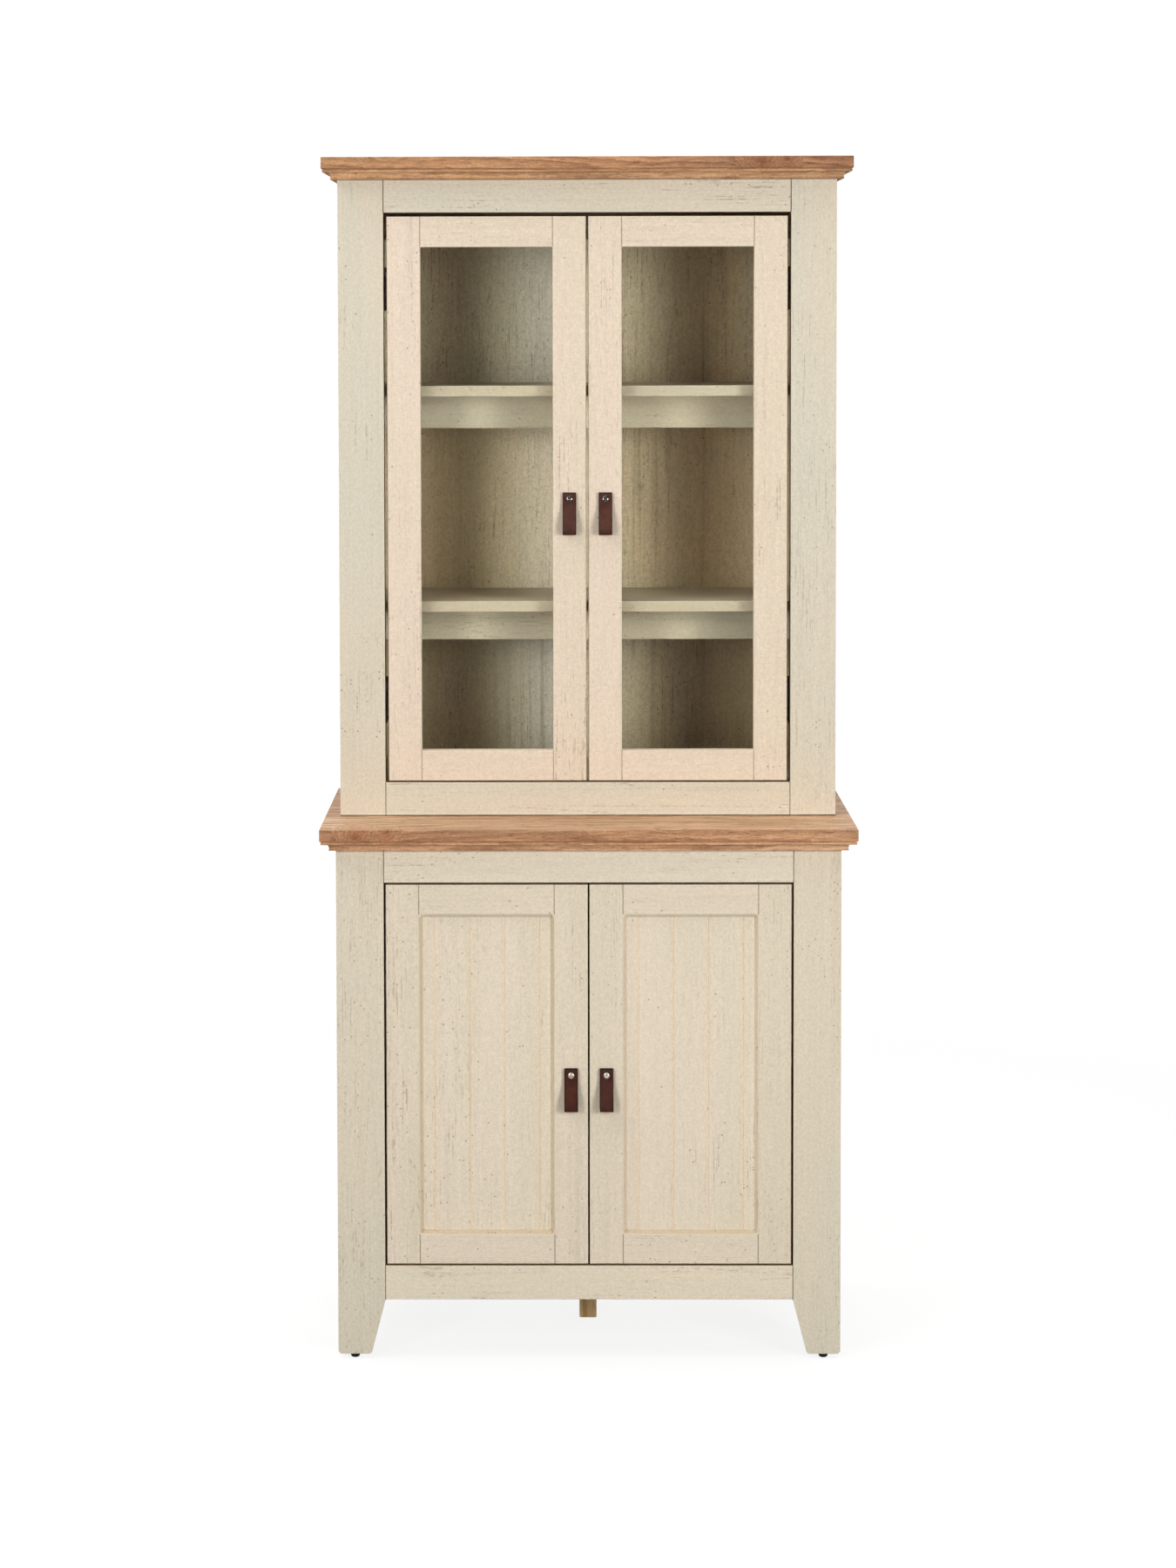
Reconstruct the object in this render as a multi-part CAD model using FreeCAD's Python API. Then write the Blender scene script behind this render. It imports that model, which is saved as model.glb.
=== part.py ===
import FreeCAD, Part
import math
import os

V = FreeCAD.Vector
os.makedirs("parts", exist_ok=True)

# ------------------------------------------------------------------
# Display unit: a base cupboard with two framed doors, and a glazed
# cabinet with two doors standing on its worktop.
# Millimetres. X to the right, Y to the back, Z up.
# Origin: on the floor, at the middle of the footprint.
# ------------------------------------------------------------------

# overall
WIDTH = 800.0            # worktop and crown board
DEPTH = 400.0            # worktop, front edge at -DEPTH/2
HEIGHT = 1804.0
TOP_Z = 804.0            # top of the worktop
SLAB = 18.0              # worktop and crown board thickness
MOULD = 15.2             # height of the cove moulding under a board
BOARD = 16.0             # carcass board
FRONT = 20.0             # thickness of posts, rails and doors
BACK_T = 5.0             # back panels

CX = 377.0               # half width of both carcasses
IX = CX - BOARD          # inner face of the side panels
YB = DEPTH / 2.0         # rear plane
BACK_Y = 185.0           # front face of the back panels
YL = -178.0              # front plane of the base
YU = -73.0               # front plane of the display cabinet
YC = -96.0               # front edge of the crown board

# base front
POST_L = 71.4            # width of the base posts
FOOT_W = 50.0            # width of a foot at the floor
FOOT_Z = 7.0             # underside of the feet (the glide is below it)
APRON_Z0, APRON_Z1 = 90.0, 141.6
RAIL_L_Z0 = 721.0
FLOOR_L_Z1 = 138.0
SHELF_L_Z1 = 446.0
LEG_S = 26.5             # support leg, square section
LEG_Y0 = 4.0

# display cabinet front
POST_U = 69.3
RAIL_U_Z0 = 1720.8       # underside of the top rail
SILL_Z1 = 855.6          # top of the bottom rail
SHELF_HIGH_Z1 = 1458.5
SHELF_LOW_Z1 = 1129.5
SHELF_FRONT_U = -45.0
SHELF_RAIL_H = 51.3
SHELF_RAIL_Y = 40.0

# doors (left ones; the right ones are mirrored)
UD_X0, UD_X1 = -303.0, -1.6
UD_Z0, UD_Z1 = 858.2, 1715.0
UD_STILE, UD_RAIL = 50.5, 46.0
LD_X0, LD_X1 = -303.4, -1.3
LD_Z0, LD_Z1 = 144.2, 718.4
LD_STILE, LD_RAIL = 50.0, 44.9
REBATE_W, REBATE_D = 8.0, 12.0
GLASS_T = 4.0
SINK = 6.0               # depth of the sunk panel
BEVEL = 5.6              # width of the sloped border of the panel
PLANK = 52.3             # pitch of the panel's grooves

# concealed hinge, seen from above for a left door: u to the free edge,
# v to the back, from the door's outer front corner
CUP_U, CUP_R, CUP_DEEP = 20.5, 17.35, 15.0
HA = (39.3, 30.8)        # pivot on the arm
HQ = (10.9, 9.2)         # pivot in the cup
HM = (26.4, 7.6)         # bend of the link
PIN_R, EYE_R = 1.5, 3.0
HINGE_U_Z = (974.5, 1606.5)
HINGE_L_Z = (254.0, 608.5)
BLOCK_H, BLOCK_D = 66.0, 68.0

# handle strap
STRAP_W, STRAP_T, STRAP_H = 20.6, 2.3, 65.0
STRAP_U = (-27.3, 1298.0)    # x of the middle, z of the top
STRAP_L = (-26.5, 441.7)
SCREW_DROP = 10.8


# ------------------------------------------------------------------ helpers
def box(x0, x1, y0, y1, z0, z1):
    return Part.makeBox(x1 - x0, y1 - y0, z1 - z0, V(x0, y0, z0))


def prism(points, direction):
    w = Part.makePolygon([V(*p) for p in points] + [V(*points[0])])
    return Part.Face(w).extrude(direction)


def prism_xy(pts, z0, z1):
    return prism([(x, y, z0) for x, y in pts], V(0, 0, z1 - z0))


def prism_xz(pts, y0, y1):
    return prism([(x, y0, z) for x, z in pts], V(0, y1 - y0, 0))


def prism_yz(pts, x0, x1):
    return prism([(x0, y, z) for y, z in pts], V(x1 - x0, 0, 0))


def cyl(x, y, z, r, length, d):
    return Part.makeCylinder(r, length, V(x, y, z), d)


def mirrored(s):
    return s.mirror(V(0, 0, 0), V(1, 0, 0))


def eased(s, r, want):
    """Rounds the edges for which want(edge) is true."""
    edges = [e for e in s.Edges if want(e)]
    if not edges:
        return s
    try:
        t = s.makeFillet(r, edges)
        if t.isValid() and t.Volume > 0.9 * s.Volume:
            return t
    except Exception:
        pass
    print("edge left sharp")
    return s


def on(e, axis, value, tol=1e-3):
    return all(abs(getattr(v.Point, axis) - value) < tol for v in e.Vertexes)


def front_edges(y):
    return lambda e: on(e, "y", y)


def save(name, *solids):
    for s in solids:
        assert s.isValid(), name
        for p in s.Solids:
            assert p.Volume > 1.0, name
    if len(solids) == 1 and len(solids[0].Solids) == 1:
        shape = solids[0].Solids[0]
    else:
        shape = Part.makeCompound([p for s in solids for p in s.Solids])
    shape.exportStep("parts/%s.step" % name)
    print("%-28s solids %2d  volume %10.0f" % (name, len(shape.Solids), shape.Volume))


# ------------------------------------------------------------------ moulding
# Section: u is the distance in from the board's edge, h the height below it.
def mould_section():
    # a bead with a small quirk over it, then the hollow of the cove
    pts = [(24.0, 0.0), (3.4, 0.0), (3.4, -0.7), (2.2, -1.3), (1.8, -2.0), (1.8, -4.0),
           (2.1, -4.7), (2.8, -5.1), (10.0, -5.1)]
    for k in range(1, 9):
        a = math.radians(k * 11.0)
        pts.append((10.0 + 3.7 * math.sin(a), -5.1 - 8.3 * (1.0 - math.cos(a))))
    pts += [(13.1, -MOULD + 0.9), (12.8, -MOULD), (24.0, -MOULD)]
    return pts


def moulding(x_half, y_front, y_back, z_top, carcass_x, carcass_y):
    sec = mould_section()
    front = prism_yz([(y_front + u, z_top + h) for u, h in sec], -x_half, x_half)
    left = prism_xz([(-x_half + u, z_top + h) for u, h in sec], y_front, y_back)
    k = 40.0
    clip_f = prism_xy([(-x_half, y_front), (x_half, y_front), (x_half - k, y_front + k),
                       (-x_half + k, y_front + k)], z_top - 30, z_top + 5)
    clip_s = prism_xy([(-x_half, y_front), (-x_half + k, y_front + k), (-x_half + k, y_back),
                       (-x_half, y_back)], z_top - 30, z_top + 5)
    body = box(-carcass_x, carcass_x, carcass_y, y_back + 5, z_top - 40, z_top + 10)
    front = front.common(clip_f).cut(body)
    left = left.common(clip_s).cut(body)
    return front, left, mirrored(left)


save("worktop_moulding", *moulding(WIDTH / 2, -DEPTH / 2, YB, TOP_Z - SLAB, CX, YL))
save("crown_moulding", *moulding(WIDTH / 2, YC, YB, HEIGHT - SLAB, CX, YU))

# ------------------------------------------------------------------ boards
DOWELS = [(sx * (CX - BOARD / 2), y) for sx in (-1, 1) for y in (-20.0, 150.0)]
worktop = eased(box(-WIDTH / 2, WIDTH / 2, -DEPTH / 2, YB, TOP_Z - SLAB, TOP_Z), 1.2,
                lambda e: not on(e, "y", YB))
for x, y in DOWELS:
    worktop = worktop.cut(cyl(x, y, TOP_Z - 12.5, 4.05, 13, V(0, 0, 1)))
save("worktop", worktop)
save("crown_board", eased(box(-WIDTH / 2, WIDTH / 2, YC, YB, HEIGHT - SLAB, HEIGHT), 1.2,
                          lambda e: not on(e, "y", YB)))
save("joining_dowels", *[cyl(x, y, TOP_Z - 12, 4.0, 28, V(0, 0, 1)) for x, y in DOWELS])


# ------------------------------------------------------------------ glides
def glide(x, y):
    pts = [(0, 0), (4.2, 0), (6.0, 0.9), (6.8, 2.6), (7.0, FOOT_Z), (1.2, FOOT_Z), (1.2, 20), (0, 22)]
    w = Part.makePolygon([V(r, 0, z) for r, z in pts] + [V(0, 0, 0)])
    s = Part.Face(w).revolve(V(0, 0, 0), V(0, 0, 1), 360)
    s.translate(V(x, y, 0))
    return s


FOOT_X = CX - FOOT_W / 2
GLIDES = [(-FOOT_X, YL + FRONT / 2), (FOOT_X, YL + FRONT / 2),
          (-(CX - BOARD / 2), YB - 26.0), (CX - BOARD / 2, YB - 26.0)]
glides = [glide(x, y) for x, y in GLIDES]
save("glides", *glides)


def less_nails(s):
    for x, y in GLIDES:
        s = s.cut(cyl(x, y, FOOT_Z - 1, 1.25, 17.5, V(0, 0, 1)))
    return s


# ------------------------------------------------------------------ base
zt = TOP_Z - SLAB
post = prism_xz([(-CX, FOOT_Z), (-CX + FOOT_W, FOOT_Z), (-CX + POST_L, APRON_Z0),
                 (-CX + POST_L, zt), (-CX, zt)], YL, YL + FRONT)
post = eased(post, 6.0, lambda e: all(abs(v.Point.z - FOOT_Z) < 1e-3 for v in e.Vertexes)
             and abs(e.Vertexes[0].Point.y - e.Vertexes[-1].Point.y) > 1)
post = eased(post, 0.9, lambda e: abs(e.Vertexes[0].Point.y - YL) < 1e-3
             and abs(e.Vertexes[-1].Point.y - YL) < 1e-3
             and not all(abs(v.Point.z - zt) < 1e-3 for v in e.Vertexes))
save("base_post_left", less_nails(post))
save("base_post_right", less_nails(mirrored(post)))
px = CX - POST_L
save("base_top_rail", eased(box(-px, px, YL, YL + FRONT, RAIL_L_Z0, zt), 0.7, front_edges(YL)))
save("base_apron", eased(box(-px, px, YL, YL + FRONT, APRON_Z0, APRON_Z1), 0.7, front_edges(YL)))

y0 = YL + FRONT
fy = YL + FOOT_W
side = prism_yz([(y0, FOOT_Z), (fy, FOOT_Z), (YL + POST_L, APRON_Z0), (YB - POST_L, APRON_Z0),
                 (YB - FOOT_W, FOOT_Z), (YB, FOOT_Z), (YB, zt), (y0, zt)], -CX, -IX)
side = eased(side, 4.0, lambda e: all(abs(v.Point.z - FOOT_Z) < 1e-3 for v in e.Vertexes)
             and abs(e.Vertexes[0].Point.x - e.Vertexes[-1].Point.x) > 1
             and not on(e, "y", y0))
side = eased(side, 0.8, lambda e: on(e, "x", -CX) and not on(e, "y", y0) and not on(e, "z", zt))
save("base_side_left", less_nails(side))
save("base_side_right", less_nails(mirrored(side)))
save("base_floor_panel", box(-IX, IX, y0, BACK_Y, FLOOR_L_Z1 - BOARD, FLOOR_L_Z1))
save("base_back_panel", box(-IX, IX, BACK_Y, BACK_Y + BACK_T, FLOOR_L_Z1 - BOARD - 16, zt))
save("base_shelf", eased(box(-IX, IX, -120.0, BACK_Y, SHELF_L_Z1 - BOARD, SHELF_L_Z1), 0.8,
                         front_edges(-120.0)))
leg = box(-LEG_S / 2, LEG_S / 2, LEG_Y0, LEG_Y0 + LEG_S, 1.5, FLOOR_L_Z1 - BOARD)
leg = eased(leg, 2.5, lambda e: on(e, "z", 1.5))
save("centre_leg", leg)

# ------------------------------------------------------------------ display cabinet
zc = HEIGHT - SLAB
pux = CX - POST_U
upost = eased(box(-CX, -pux, YU, YU + FRONT, TOP_Z, zc), 0.9,
              lambda e: on(e, "y", YU) and not on(e, "z", zc))
save("upper_post_left", upost)
save("upper_post_right", mirrored(upost))
save("upper_top_rail", eased(box(-pux, pux, YU, YU + FRONT, RAIL_U_Z0, zc), 0.7, front_edges(YU)))
save("upper_bottom_rail", eased(box(-pux, pux, YU, YU + FRONT, TOP_Z, SILL_Z1), 0.7, front_edges(YU)))
uside = eased(box(-CX, -IX, YU + FRONT, YB, TOP_Z, zc), 0.8, lambda e: on(e, "x", -CX) and on(e, "y", YB))
for x, y in DOWELS[:2]:
    uside = uside.cut(cyl(x, y, TOP_Z - 1, 4.05, 17.5, V(0, 0, 1)))
save("upper_side_left", uside)
save("upper_side_right", mirrored(uside))
yi = YU + FRONT
save("upper_top_panel", box(-IX, IX, yi, BACK_Y, zc - BOARD, zc))
save("upper_floor_panel", box(-IX, IX, yi, BACK_Y, SILL_Z1 - BOARD, SILL_Z1))
WALL_X, WALL_Z, WALL_R = 250.0, 1745.0, 2.5
uback = box(-IX, IX, BACK_Y, BACK_Y + BACK_T, TOP_Z, zc)
hang = box(-IX, IX, BACK_Y - BOARD, BACK_Y, 1686.0, zc - BOARD)
for x in (-WALL_X, WALL_X):
    drill = cyl(x, BACK_Y - 30, WALL_Z, WALL_R, 60, V(0, 1, 0))
    uback, hang = uback.cut(drill), hang.cut(drill)
save("upper_back_panel", uback)
save("hanging_rail", hang)
save("display_shelves", *[eased(box(-IX, IX, SHELF_FRONT_U, BACK_Y, z - BOARD, z), 0.8,
                                front_edges(SHELF_FRONT_U)) for z in (SHELF_HIGH_Z1, SHELF_LOW_Z1)])
save("shelf_rails", *[eased(box(-IX, IX, SHELF_RAIL_Y, SHELF_RAIL_Y + BOARD, z - BOARD - SHELF_RAIL_H,
                                z - BOARD), 0.8, lambda e: on(e, "y", SHELF_RAIL_Y) and not on(e, "x", IX)
                            and not on(e, "x", -IX))
                      for z in (SHELF_HIGH_Z1, SHELF_LOW_Z1, SHELF_L_Z1)])


# ------------------------------------------------------------------ hinges
def at(ox, oy, u, v):
    return ox + u, oy + v


def hinge_cup(ox, oy, z):
    cx, ny = ox + CUP_U, oy + FRONT
    s = cyl(cx, ny - CUP_DEEP, z, CUP_R, CUP_DEEP, V(0, 1, 0))
    s = s.fuse(cyl(cx, ny, z, 19.4, 1.2, V(0, 1, 0)))
    s = s.fuse(box(cx - 8, cx + 8, ny, ny + 1.2, z - 27, z + 27))
    s = s.cut(cyl(cx, ny - CUP_DEEP + 0.9, z, 16.4, CUP_DEEP + 3, V(0, 1, 0)))
    qx, qy = at(ox, oy, *HQ)
    floor = ny - CUP_DEEP
    for a, b in ((4.4, 6.8), (-6.8, -4.4)):
        s = s.fuse(box(qx - 3.6, qx + 3.8, floor + 0.5, qy + 3.4, z + a, z + b))
    s = s.fuse(cyl(qx, qy, z - 5.5, PIN_R, 11.0, V(0, 0, 1)))
    # holes for the two screws of the flange
    for d in (-22.6, 22.6):
        s = s.cut(cyl(cx, ny - 1, z + d, 1.9, 4, V(0, 1, 0)))
    return s.removeSplitter()


def cup_bore(ox, oy, z):
    return cyl(ox + CUP_U, oy + FRONT - CUP_DEEP - 0.1, z, CUP_R + 0.15, CUP_DEEP + 1, V(0, 1, 0))


def bar(p, q, half, z0, z1):
    dx, dy = q[0] - p[0], q[1] - p[1]
    n = math.hypot(dx, dy)
    nx, ny = -dy / n * half, dx / n * half
    return prism_xy([(p[0] + nx, p[1] + ny), (q[0] + nx, q[1] + ny), (q[0] - nx, q[1] - ny),
                     (p[0] - nx, p[1] - ny)], z0, z1)


def hinge_link(ox, oy, z):
    a, q, m = at(ox, oy, *HA), at(ox, oy, *HQ), at(ox, oy, *HM)
    z0, z1 = z - 4.0, z + 4.0
    s = bar(q, m, 1.0, z0, z1).fuse(bar(m, a, 1.0, z0, z1))
    s = s.fuse(cyl(m[0], m[1], z0, 1.0, 8.0, V(0, 0, 1)))
    for p in (a, q):
        s = s.fuse(cyl(p[0], p[1], z0, EYE_R, 8.0, V(0, 0, 1)))
    for p in (a, q):
        s = s.cut(cyl(p[0], p[1], z0 - 1, PIN_R + 0.06, 10.0, V(0, 0, 1)))
    return s.removeSplitter()


def hinge_arm(ox, oy, z, face):
    """Arm and mounting plate; face is the x of the packing block's face."""
    pts = [(2.0, 38), (2.0, 86), (10.5, 86), (11.0, 52), (42.3, 34.6), (43.0, 31.0), (41.9, 28.3),
           (39.3, 27.1), (36.4, 27.9), (34.0, 29.6), (11.0, 38)]
    s = prism_xy([at(ox, oy, u, v) for u, v in pts], z - 6.8, z + 6.8)
    a = at(ox, oy, *HA)
    s = s.cut(box(a[0] - 9.0, a[0] + 8.0, a[1] - 8.0, a[1] + 5.2, z - 4.3, z + 4.3))
    s = s.fuse(cyl(a[0], a[1], z - 6.8, PIN_R, 13.6, V(0, 0, 1)))
    # hollow of the pressed channel, open to the middle of the cupboard
    s = s.cut(box(ox + 6.0, ox + 12.0, oy + 56.0, oy + 82.0, z - 5.2, z + 5.2))
    x1 = ox + 2.0
    plate = box(face, x1, oy + 44, oy + 84, z - 10, z + 10)
    plate = plate.fuse(box(face, face + 2.0, oy + 54, oy + 72, z - 25, z + 25))
    for d in (-19.5, 19.5):
        plate = plate.fuse(cyl(face + 2.0, oy + 63, z + d, 4.0, 1.4, V(1, 0, 0)))
    return s.removeSplitter(), plate.removeSplitter()


def block(face, oy, z):
    return box(-IX, face, oy + FRONT, oy + FRONT + BLOCK_D, z - BLOCK_H / 2, z + BLOCK_H / 2)


arms, plates, blocks = [], [], []
for ox, oy, face, zs in ((UD_X0, YU, -pux, HINGE_U_Z), (LD_X0, YL, -px, HINGE_L_Z)):
    for z in zs:
        a, p = hinge_arm(ox, oy, z, face)
        b = block(face, oy, z)
        arms += [a, p, mirrored(a), mirrored(p)]
        blocks += [b, mirrored(b)]
save("hinge_arms", *arms)
save("hinge_blocks", *blocks)


# ------------------------------------------------------------------ handles
def strap(cx, y_face, z_top):
    """A strip folded on itself: flat against the door at the back, bulging to
    the front, the fold at the bottom. o is the distance out from the door."""
    r = 6.2
    o_back = STRAP_T / 2 + 0.05
    o_front = o_back + STRAP_T + 0.1
    zc_ = -(STRAP_H - r - STRAP_T / 2)
    line = [(o_back, 0.0), (o_back, -20.0), (o_back, -40.0), (o_back, zc_)]
    for k in range(1, 12):
        a = math.radians(180 + k * 15)
        line.append((o_back + r + r * math.cos(a), zc_ + r * math.sin(a)))
    o_big = o_back + 2 * r
    n = 14
    z_a, z_b = zc_, -17.0
    for k in range(0, n + 1):
        t = k / n
        s_ = t * t * (3 - 2 * t)
        line.append((o_big + (o_front - o_big) * s_, z_a + (z_b - z_a) * t))
    line.append((o_front, 0.0))
    h = STRAP_T / 2
    left, right = [], []
    for i, (o, z) in enumerate(line):
        p = line[max(i - 1, 0)]
        q = line[min(i + 1, len(line) - 1)]
        dx, dz = q[0] - p[0], q[1] - p[1]
        n_ = math.hypot(dx, dz)
        left.append((o - dz / n_ * h, z + dx / n_ * h))
        right.append((o + dz / n_ * h, z - dx / n_ * h))
    ring = left + right[::-1]
    s = prism_yz([(y_face - o, z_top + z) for o, z in ring], cx - STRAP_W / 2, cx + STRAP_W / 2)
    s = s.cut(cyl(cx, y_face - 20, z_top - SCREW_DROP, 2.1, 30, V(0, 1, 0)))
    return s


def strap_screw(cx, y_face, z_top, head_r):
    z = z_top - SCREW_DROP
    o = 0.05 + 2 * STRAP_T + 0.1 + 0.05
    pts = [(0, 0), (head_r, 0), (head_r, 0.7), (head_r * 0.86, 1.7), (head_r * 0.55, 2.5), (0, 2.8)]
    w = Part.makePolygon([V(r, 0, h) for r, h in pts] + [V(0, 0, 0)])
    s = Part.Face(w).revolve(V(0, 0, 0), V(0, 0, 1), 360)
    s = s.fuse(Part.makeCylinder(2.0, o + 14.0, V(0, 0, -(o + 14.0)), V(0, 0, 1)))
    s.rotate(V(0, 0, 0), V(1, 0, 0), 90)      # +Z turns to -Y
    s.translate(V(cx, y_face - o, z))
    return s


def screw_bore(cx, y_face, z_top):
    return cyl(cx, y_face - 1, z_top - SCREW_DROP, 2.05, 15.3, V(0, 1, 0))


# ------------------------------------------------------------------ glazed doors
def stile(x0, x1, y, z0, z1):
    return eased(box(x0, x1, y, y + FRONT, z0, z1), 0.9, front_edges(y))


ud_in0, ud_in1 = UD_X0 + UD_STILE, UD_X1 - UD_STILE
ud_iz0, ud_iz1 = UD_Z0 + UD_RAIL, UD_Z1 - UD_RAIL
rebate = box(ud_in0 - REBATE_W, ud_in1 + REBATE_W, YU + FRONT - REBATE_D, YU + FRONT + 1,
             ud_iz0 - REBATE_W, ud_iz1 + REBATE_W)
st_o = stile(UD_X0, ud_in0, YU, UD_Z0, UD_Z1).cut(rebate)
st_i = stile(ud_in1, UD_X1, YU, UD_Z0, UD_Z1).cut(rebate)
for z in HINGE_U_Z:
    st_o = st_o.cut(cup_bore(UD_X0, YU, z))
st_i = st_i.cut(screw_bore(STRAP_U[0], YU, STRAP_U[1]))
ra_b = eased(box(ud_in0, ud_in1, YU, YU + FRONT, UD_Z0, ud_iz0), 0.7, front_edges(YU)).cut(rebate)
ra_t = eased(box(ud_in0, ud_in1, YU, YU + FRONT, ud_iz1, UD_Z1), 0.7, front_edges(YU)).cut(rebate)
g = 0.5
gy = YU + FRONT - REBATE_D
glass = box(ud_in0 - REBATE_W + g, ud_in1 + REBATE_W - g, gy, gy + GLASS_T,
            ud_iz0 - REBATE_W + g, ud_iz1 + REBATE_W - g)
b0, b1 = gy + GLASS_T, YU + FRONT
bx0, bx1, bz0, bz1 = ud_in0 - REBATE_W, ud_in1 + REBATE_W, ud_iz0 - REBATE_W, ud_iz1 + REBATE_W
beads = [box(bx0, ud_in0, b0, b1, bz0, bz1), box(ud_in1, bx1, b0, b1, bz0, bz1),
         box(ud_in0, ud_in1, b0, b1, bz0, ud_iz0), box(ud_in0, ud_in1, b0, b1, ud_iz1, bz1)]
cups = [hinge_cup(UD_X0, YU, z) for z in HINGE_U_Z]
links = [hinge_link(UD_X0, YU, z) for z in HINGE_U_Z]
sw = strap(STRAP_U[0], YU, STRAP_U[1])
sc = strap_screw(STRAP_U[0], YU, STRAP_U[1], 5.5)
for side_name, f in (("left", lambda s: s), ("right", mirrored)):
    n = "display_door_%s_" % side_name
    save(n + "stiles", f(st_o), f(st_i))
    save(n + "rails", f(ra_t), f(ra_b))
    save(n + "glass", f(glass))
    save(n + "beads", *[f(b) for b in beads])
    save(n + "hinge_cups", *[f(c) for c in cups])
    save(n + "hinge_links", *[f(c) for c in links])
    save(n + "strap", f(sw))
    save(n + "screw", f(sc))


# ------------------------------------------------------------------ base doors
def rounded_rect(x0, x1, z0, z1, r, y):
    k = r * (1 - math.sqrt(0.5))
    p = lambda x, z: V(x, y, z)
    e = [Part.LineSegment(p(x0 + r, z0), p(x1 - r, z0)),
         Part.Arc(p(x1 - r, z0), p(x1 - k, z0 + k), p(x1, z0 + r)),
         Part.LineSegment(p(x1, z0 + r), p(x1, z1 - r)),
         Part.Arc(p(x1, z1 - r), p(x1 - k, z1 - k), p(x1 - r, z1)),
         Part.LineSegment(p(x1 - r, z1), p(x0 + r, z1)),
         Part.Arc(p(x0 + r, z1), p(x0 + k, z1 - k), p(x0, z1 - r)),
         Part.LineSegment(p(x0, z1 - r), p(x0, z0 + r)),
         Part.Arc(p(x0, z0 + r), p(x0 + k, z0 + k), p(x0 + r, z0))]
    return Part.Wire([c.toShape() for c in e])


ld_in0, ld_in1 = LD_X0 + LD_STILE, LD_X1 - LD_STILE
ld_iz0, ld_iz1 = LD_Z0 + LD_RAIL, LD_Z1 - LD_RAIL
lst_o = stile(LD_X0, ld_in0, YL, LD_Z0, LD_Z1)
lst_i = stile(ld_in1, LD_X1, YL, LD_Z0, LD_Z1).cut(screw_bore(STRAP_L[0], YL, STRAP_L[1]))
for z in HINGE_L_Z:
    lst_o = lst_o.cut(cup_bore(LD_X0, YL, z))
lra_b = eased(box(ld_in0, ld_in1, YL, YL + FRONT, LD_Z0, ld_iz0), 0.7, front_edges(YL))
lra_t = eased(box(ld_in0, ld_in1, YL, YL + FRONT, ld_iz1, LD_Z1), 0.7, front_edges(YL))
rim = 0.3
panel = box(ld_in0, ld_in1, YL + rim, YL + FRONT - 2.0, ld_iz0, ld_iz1)
e0 = 0.6
outer = rounded_rect(ld_in0 + e0, ld_in1 - e0, ld_iz0 + e0, ld_iz1 - e0, 6.5, YL + rim)
b_ = BEVEL
inner = rounded_rect(ld_in0 + b_, ld_in1 - b_, ld_iz0 + b_, ld_iz1 - b_, 2.5, YL + SINK)
pocket = Part.makeLoft([outer, inner], True, True)
panel = panel.cut(pocket)
pcx = (ld_in0 + ld_in1) / 2
for k in (-1.5, -0.5, 0.5, 1.5):
    gx = pcx + k * PLANK
    panel = panel.cut(prism_xy([(gx - 1.5, YL + SINK - 0.1), (gx + 1.5, YL + SINK - 0.1),
                                (gx + 0.35, YL + SINK + 1.3), (gx - 0.35, YL + SINK + 1.3)],
                               ld_iz0 + b_ + 0.4, ld_iz1 - b_ - 0.4))
lcups = [hinge_cup(LD_X0, YL, z) for z in HINGE_L_Z]
llinks = [hinge_link(LD_X0, YL, z) for z in HINGE_L_Z]
lsw = strap(STRAP_L[0], YL, STRAP_L[1])
lsc = strap_screw(STRAP_L[0], YL, STRAP_L[1], 5.0)
for side_name, f in (("left", lambda s: s), ("right", mirrored)):
    n = "base_door_%s_" % side_name
    save(n + "stiles", f(lst_o), f(lst_i))
    save(n + "rails", f(lra_t), f(lra_b))
    save(n + "panel", f(panel))
    save(n + "hinge_cups", *[f(c) for c in lcups])
    save(n + "hinge_links", *[f(c) for c in llinks])
    save(n + "strap", f(lsw))
    save(n + "screw", f(lsc))
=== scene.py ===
import math

import bmesh
import bpy
from mathutils import Matrix, Vector


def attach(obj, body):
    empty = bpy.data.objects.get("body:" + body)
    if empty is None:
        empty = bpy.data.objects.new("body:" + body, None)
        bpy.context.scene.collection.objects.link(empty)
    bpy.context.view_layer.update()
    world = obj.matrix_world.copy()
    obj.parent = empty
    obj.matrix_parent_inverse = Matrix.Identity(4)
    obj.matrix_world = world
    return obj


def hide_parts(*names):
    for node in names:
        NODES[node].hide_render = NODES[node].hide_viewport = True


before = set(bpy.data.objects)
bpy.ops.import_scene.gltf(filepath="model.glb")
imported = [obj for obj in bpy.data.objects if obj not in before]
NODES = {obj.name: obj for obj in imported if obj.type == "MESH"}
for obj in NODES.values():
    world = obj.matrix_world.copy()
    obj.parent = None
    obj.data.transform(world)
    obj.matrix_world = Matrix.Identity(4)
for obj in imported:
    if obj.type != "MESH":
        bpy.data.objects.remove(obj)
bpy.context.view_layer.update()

# ---------------------------------------------------------------- sizes, metres
MM = 0.001
HALF_W = 0.400            # worktop and crown board
CARCASS_X = 0.377
FRONT_BASE = -0.178       # front plane of the base
FRONT_DISPLAY = -0.073    # front plane of the display cabinet
STRAP_W, STRAP_T, STRAP_H = 20.6 * MM, 2.3 * MM, 65.0 * MM
SCREW_DROP = 10.8 * MM


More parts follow.
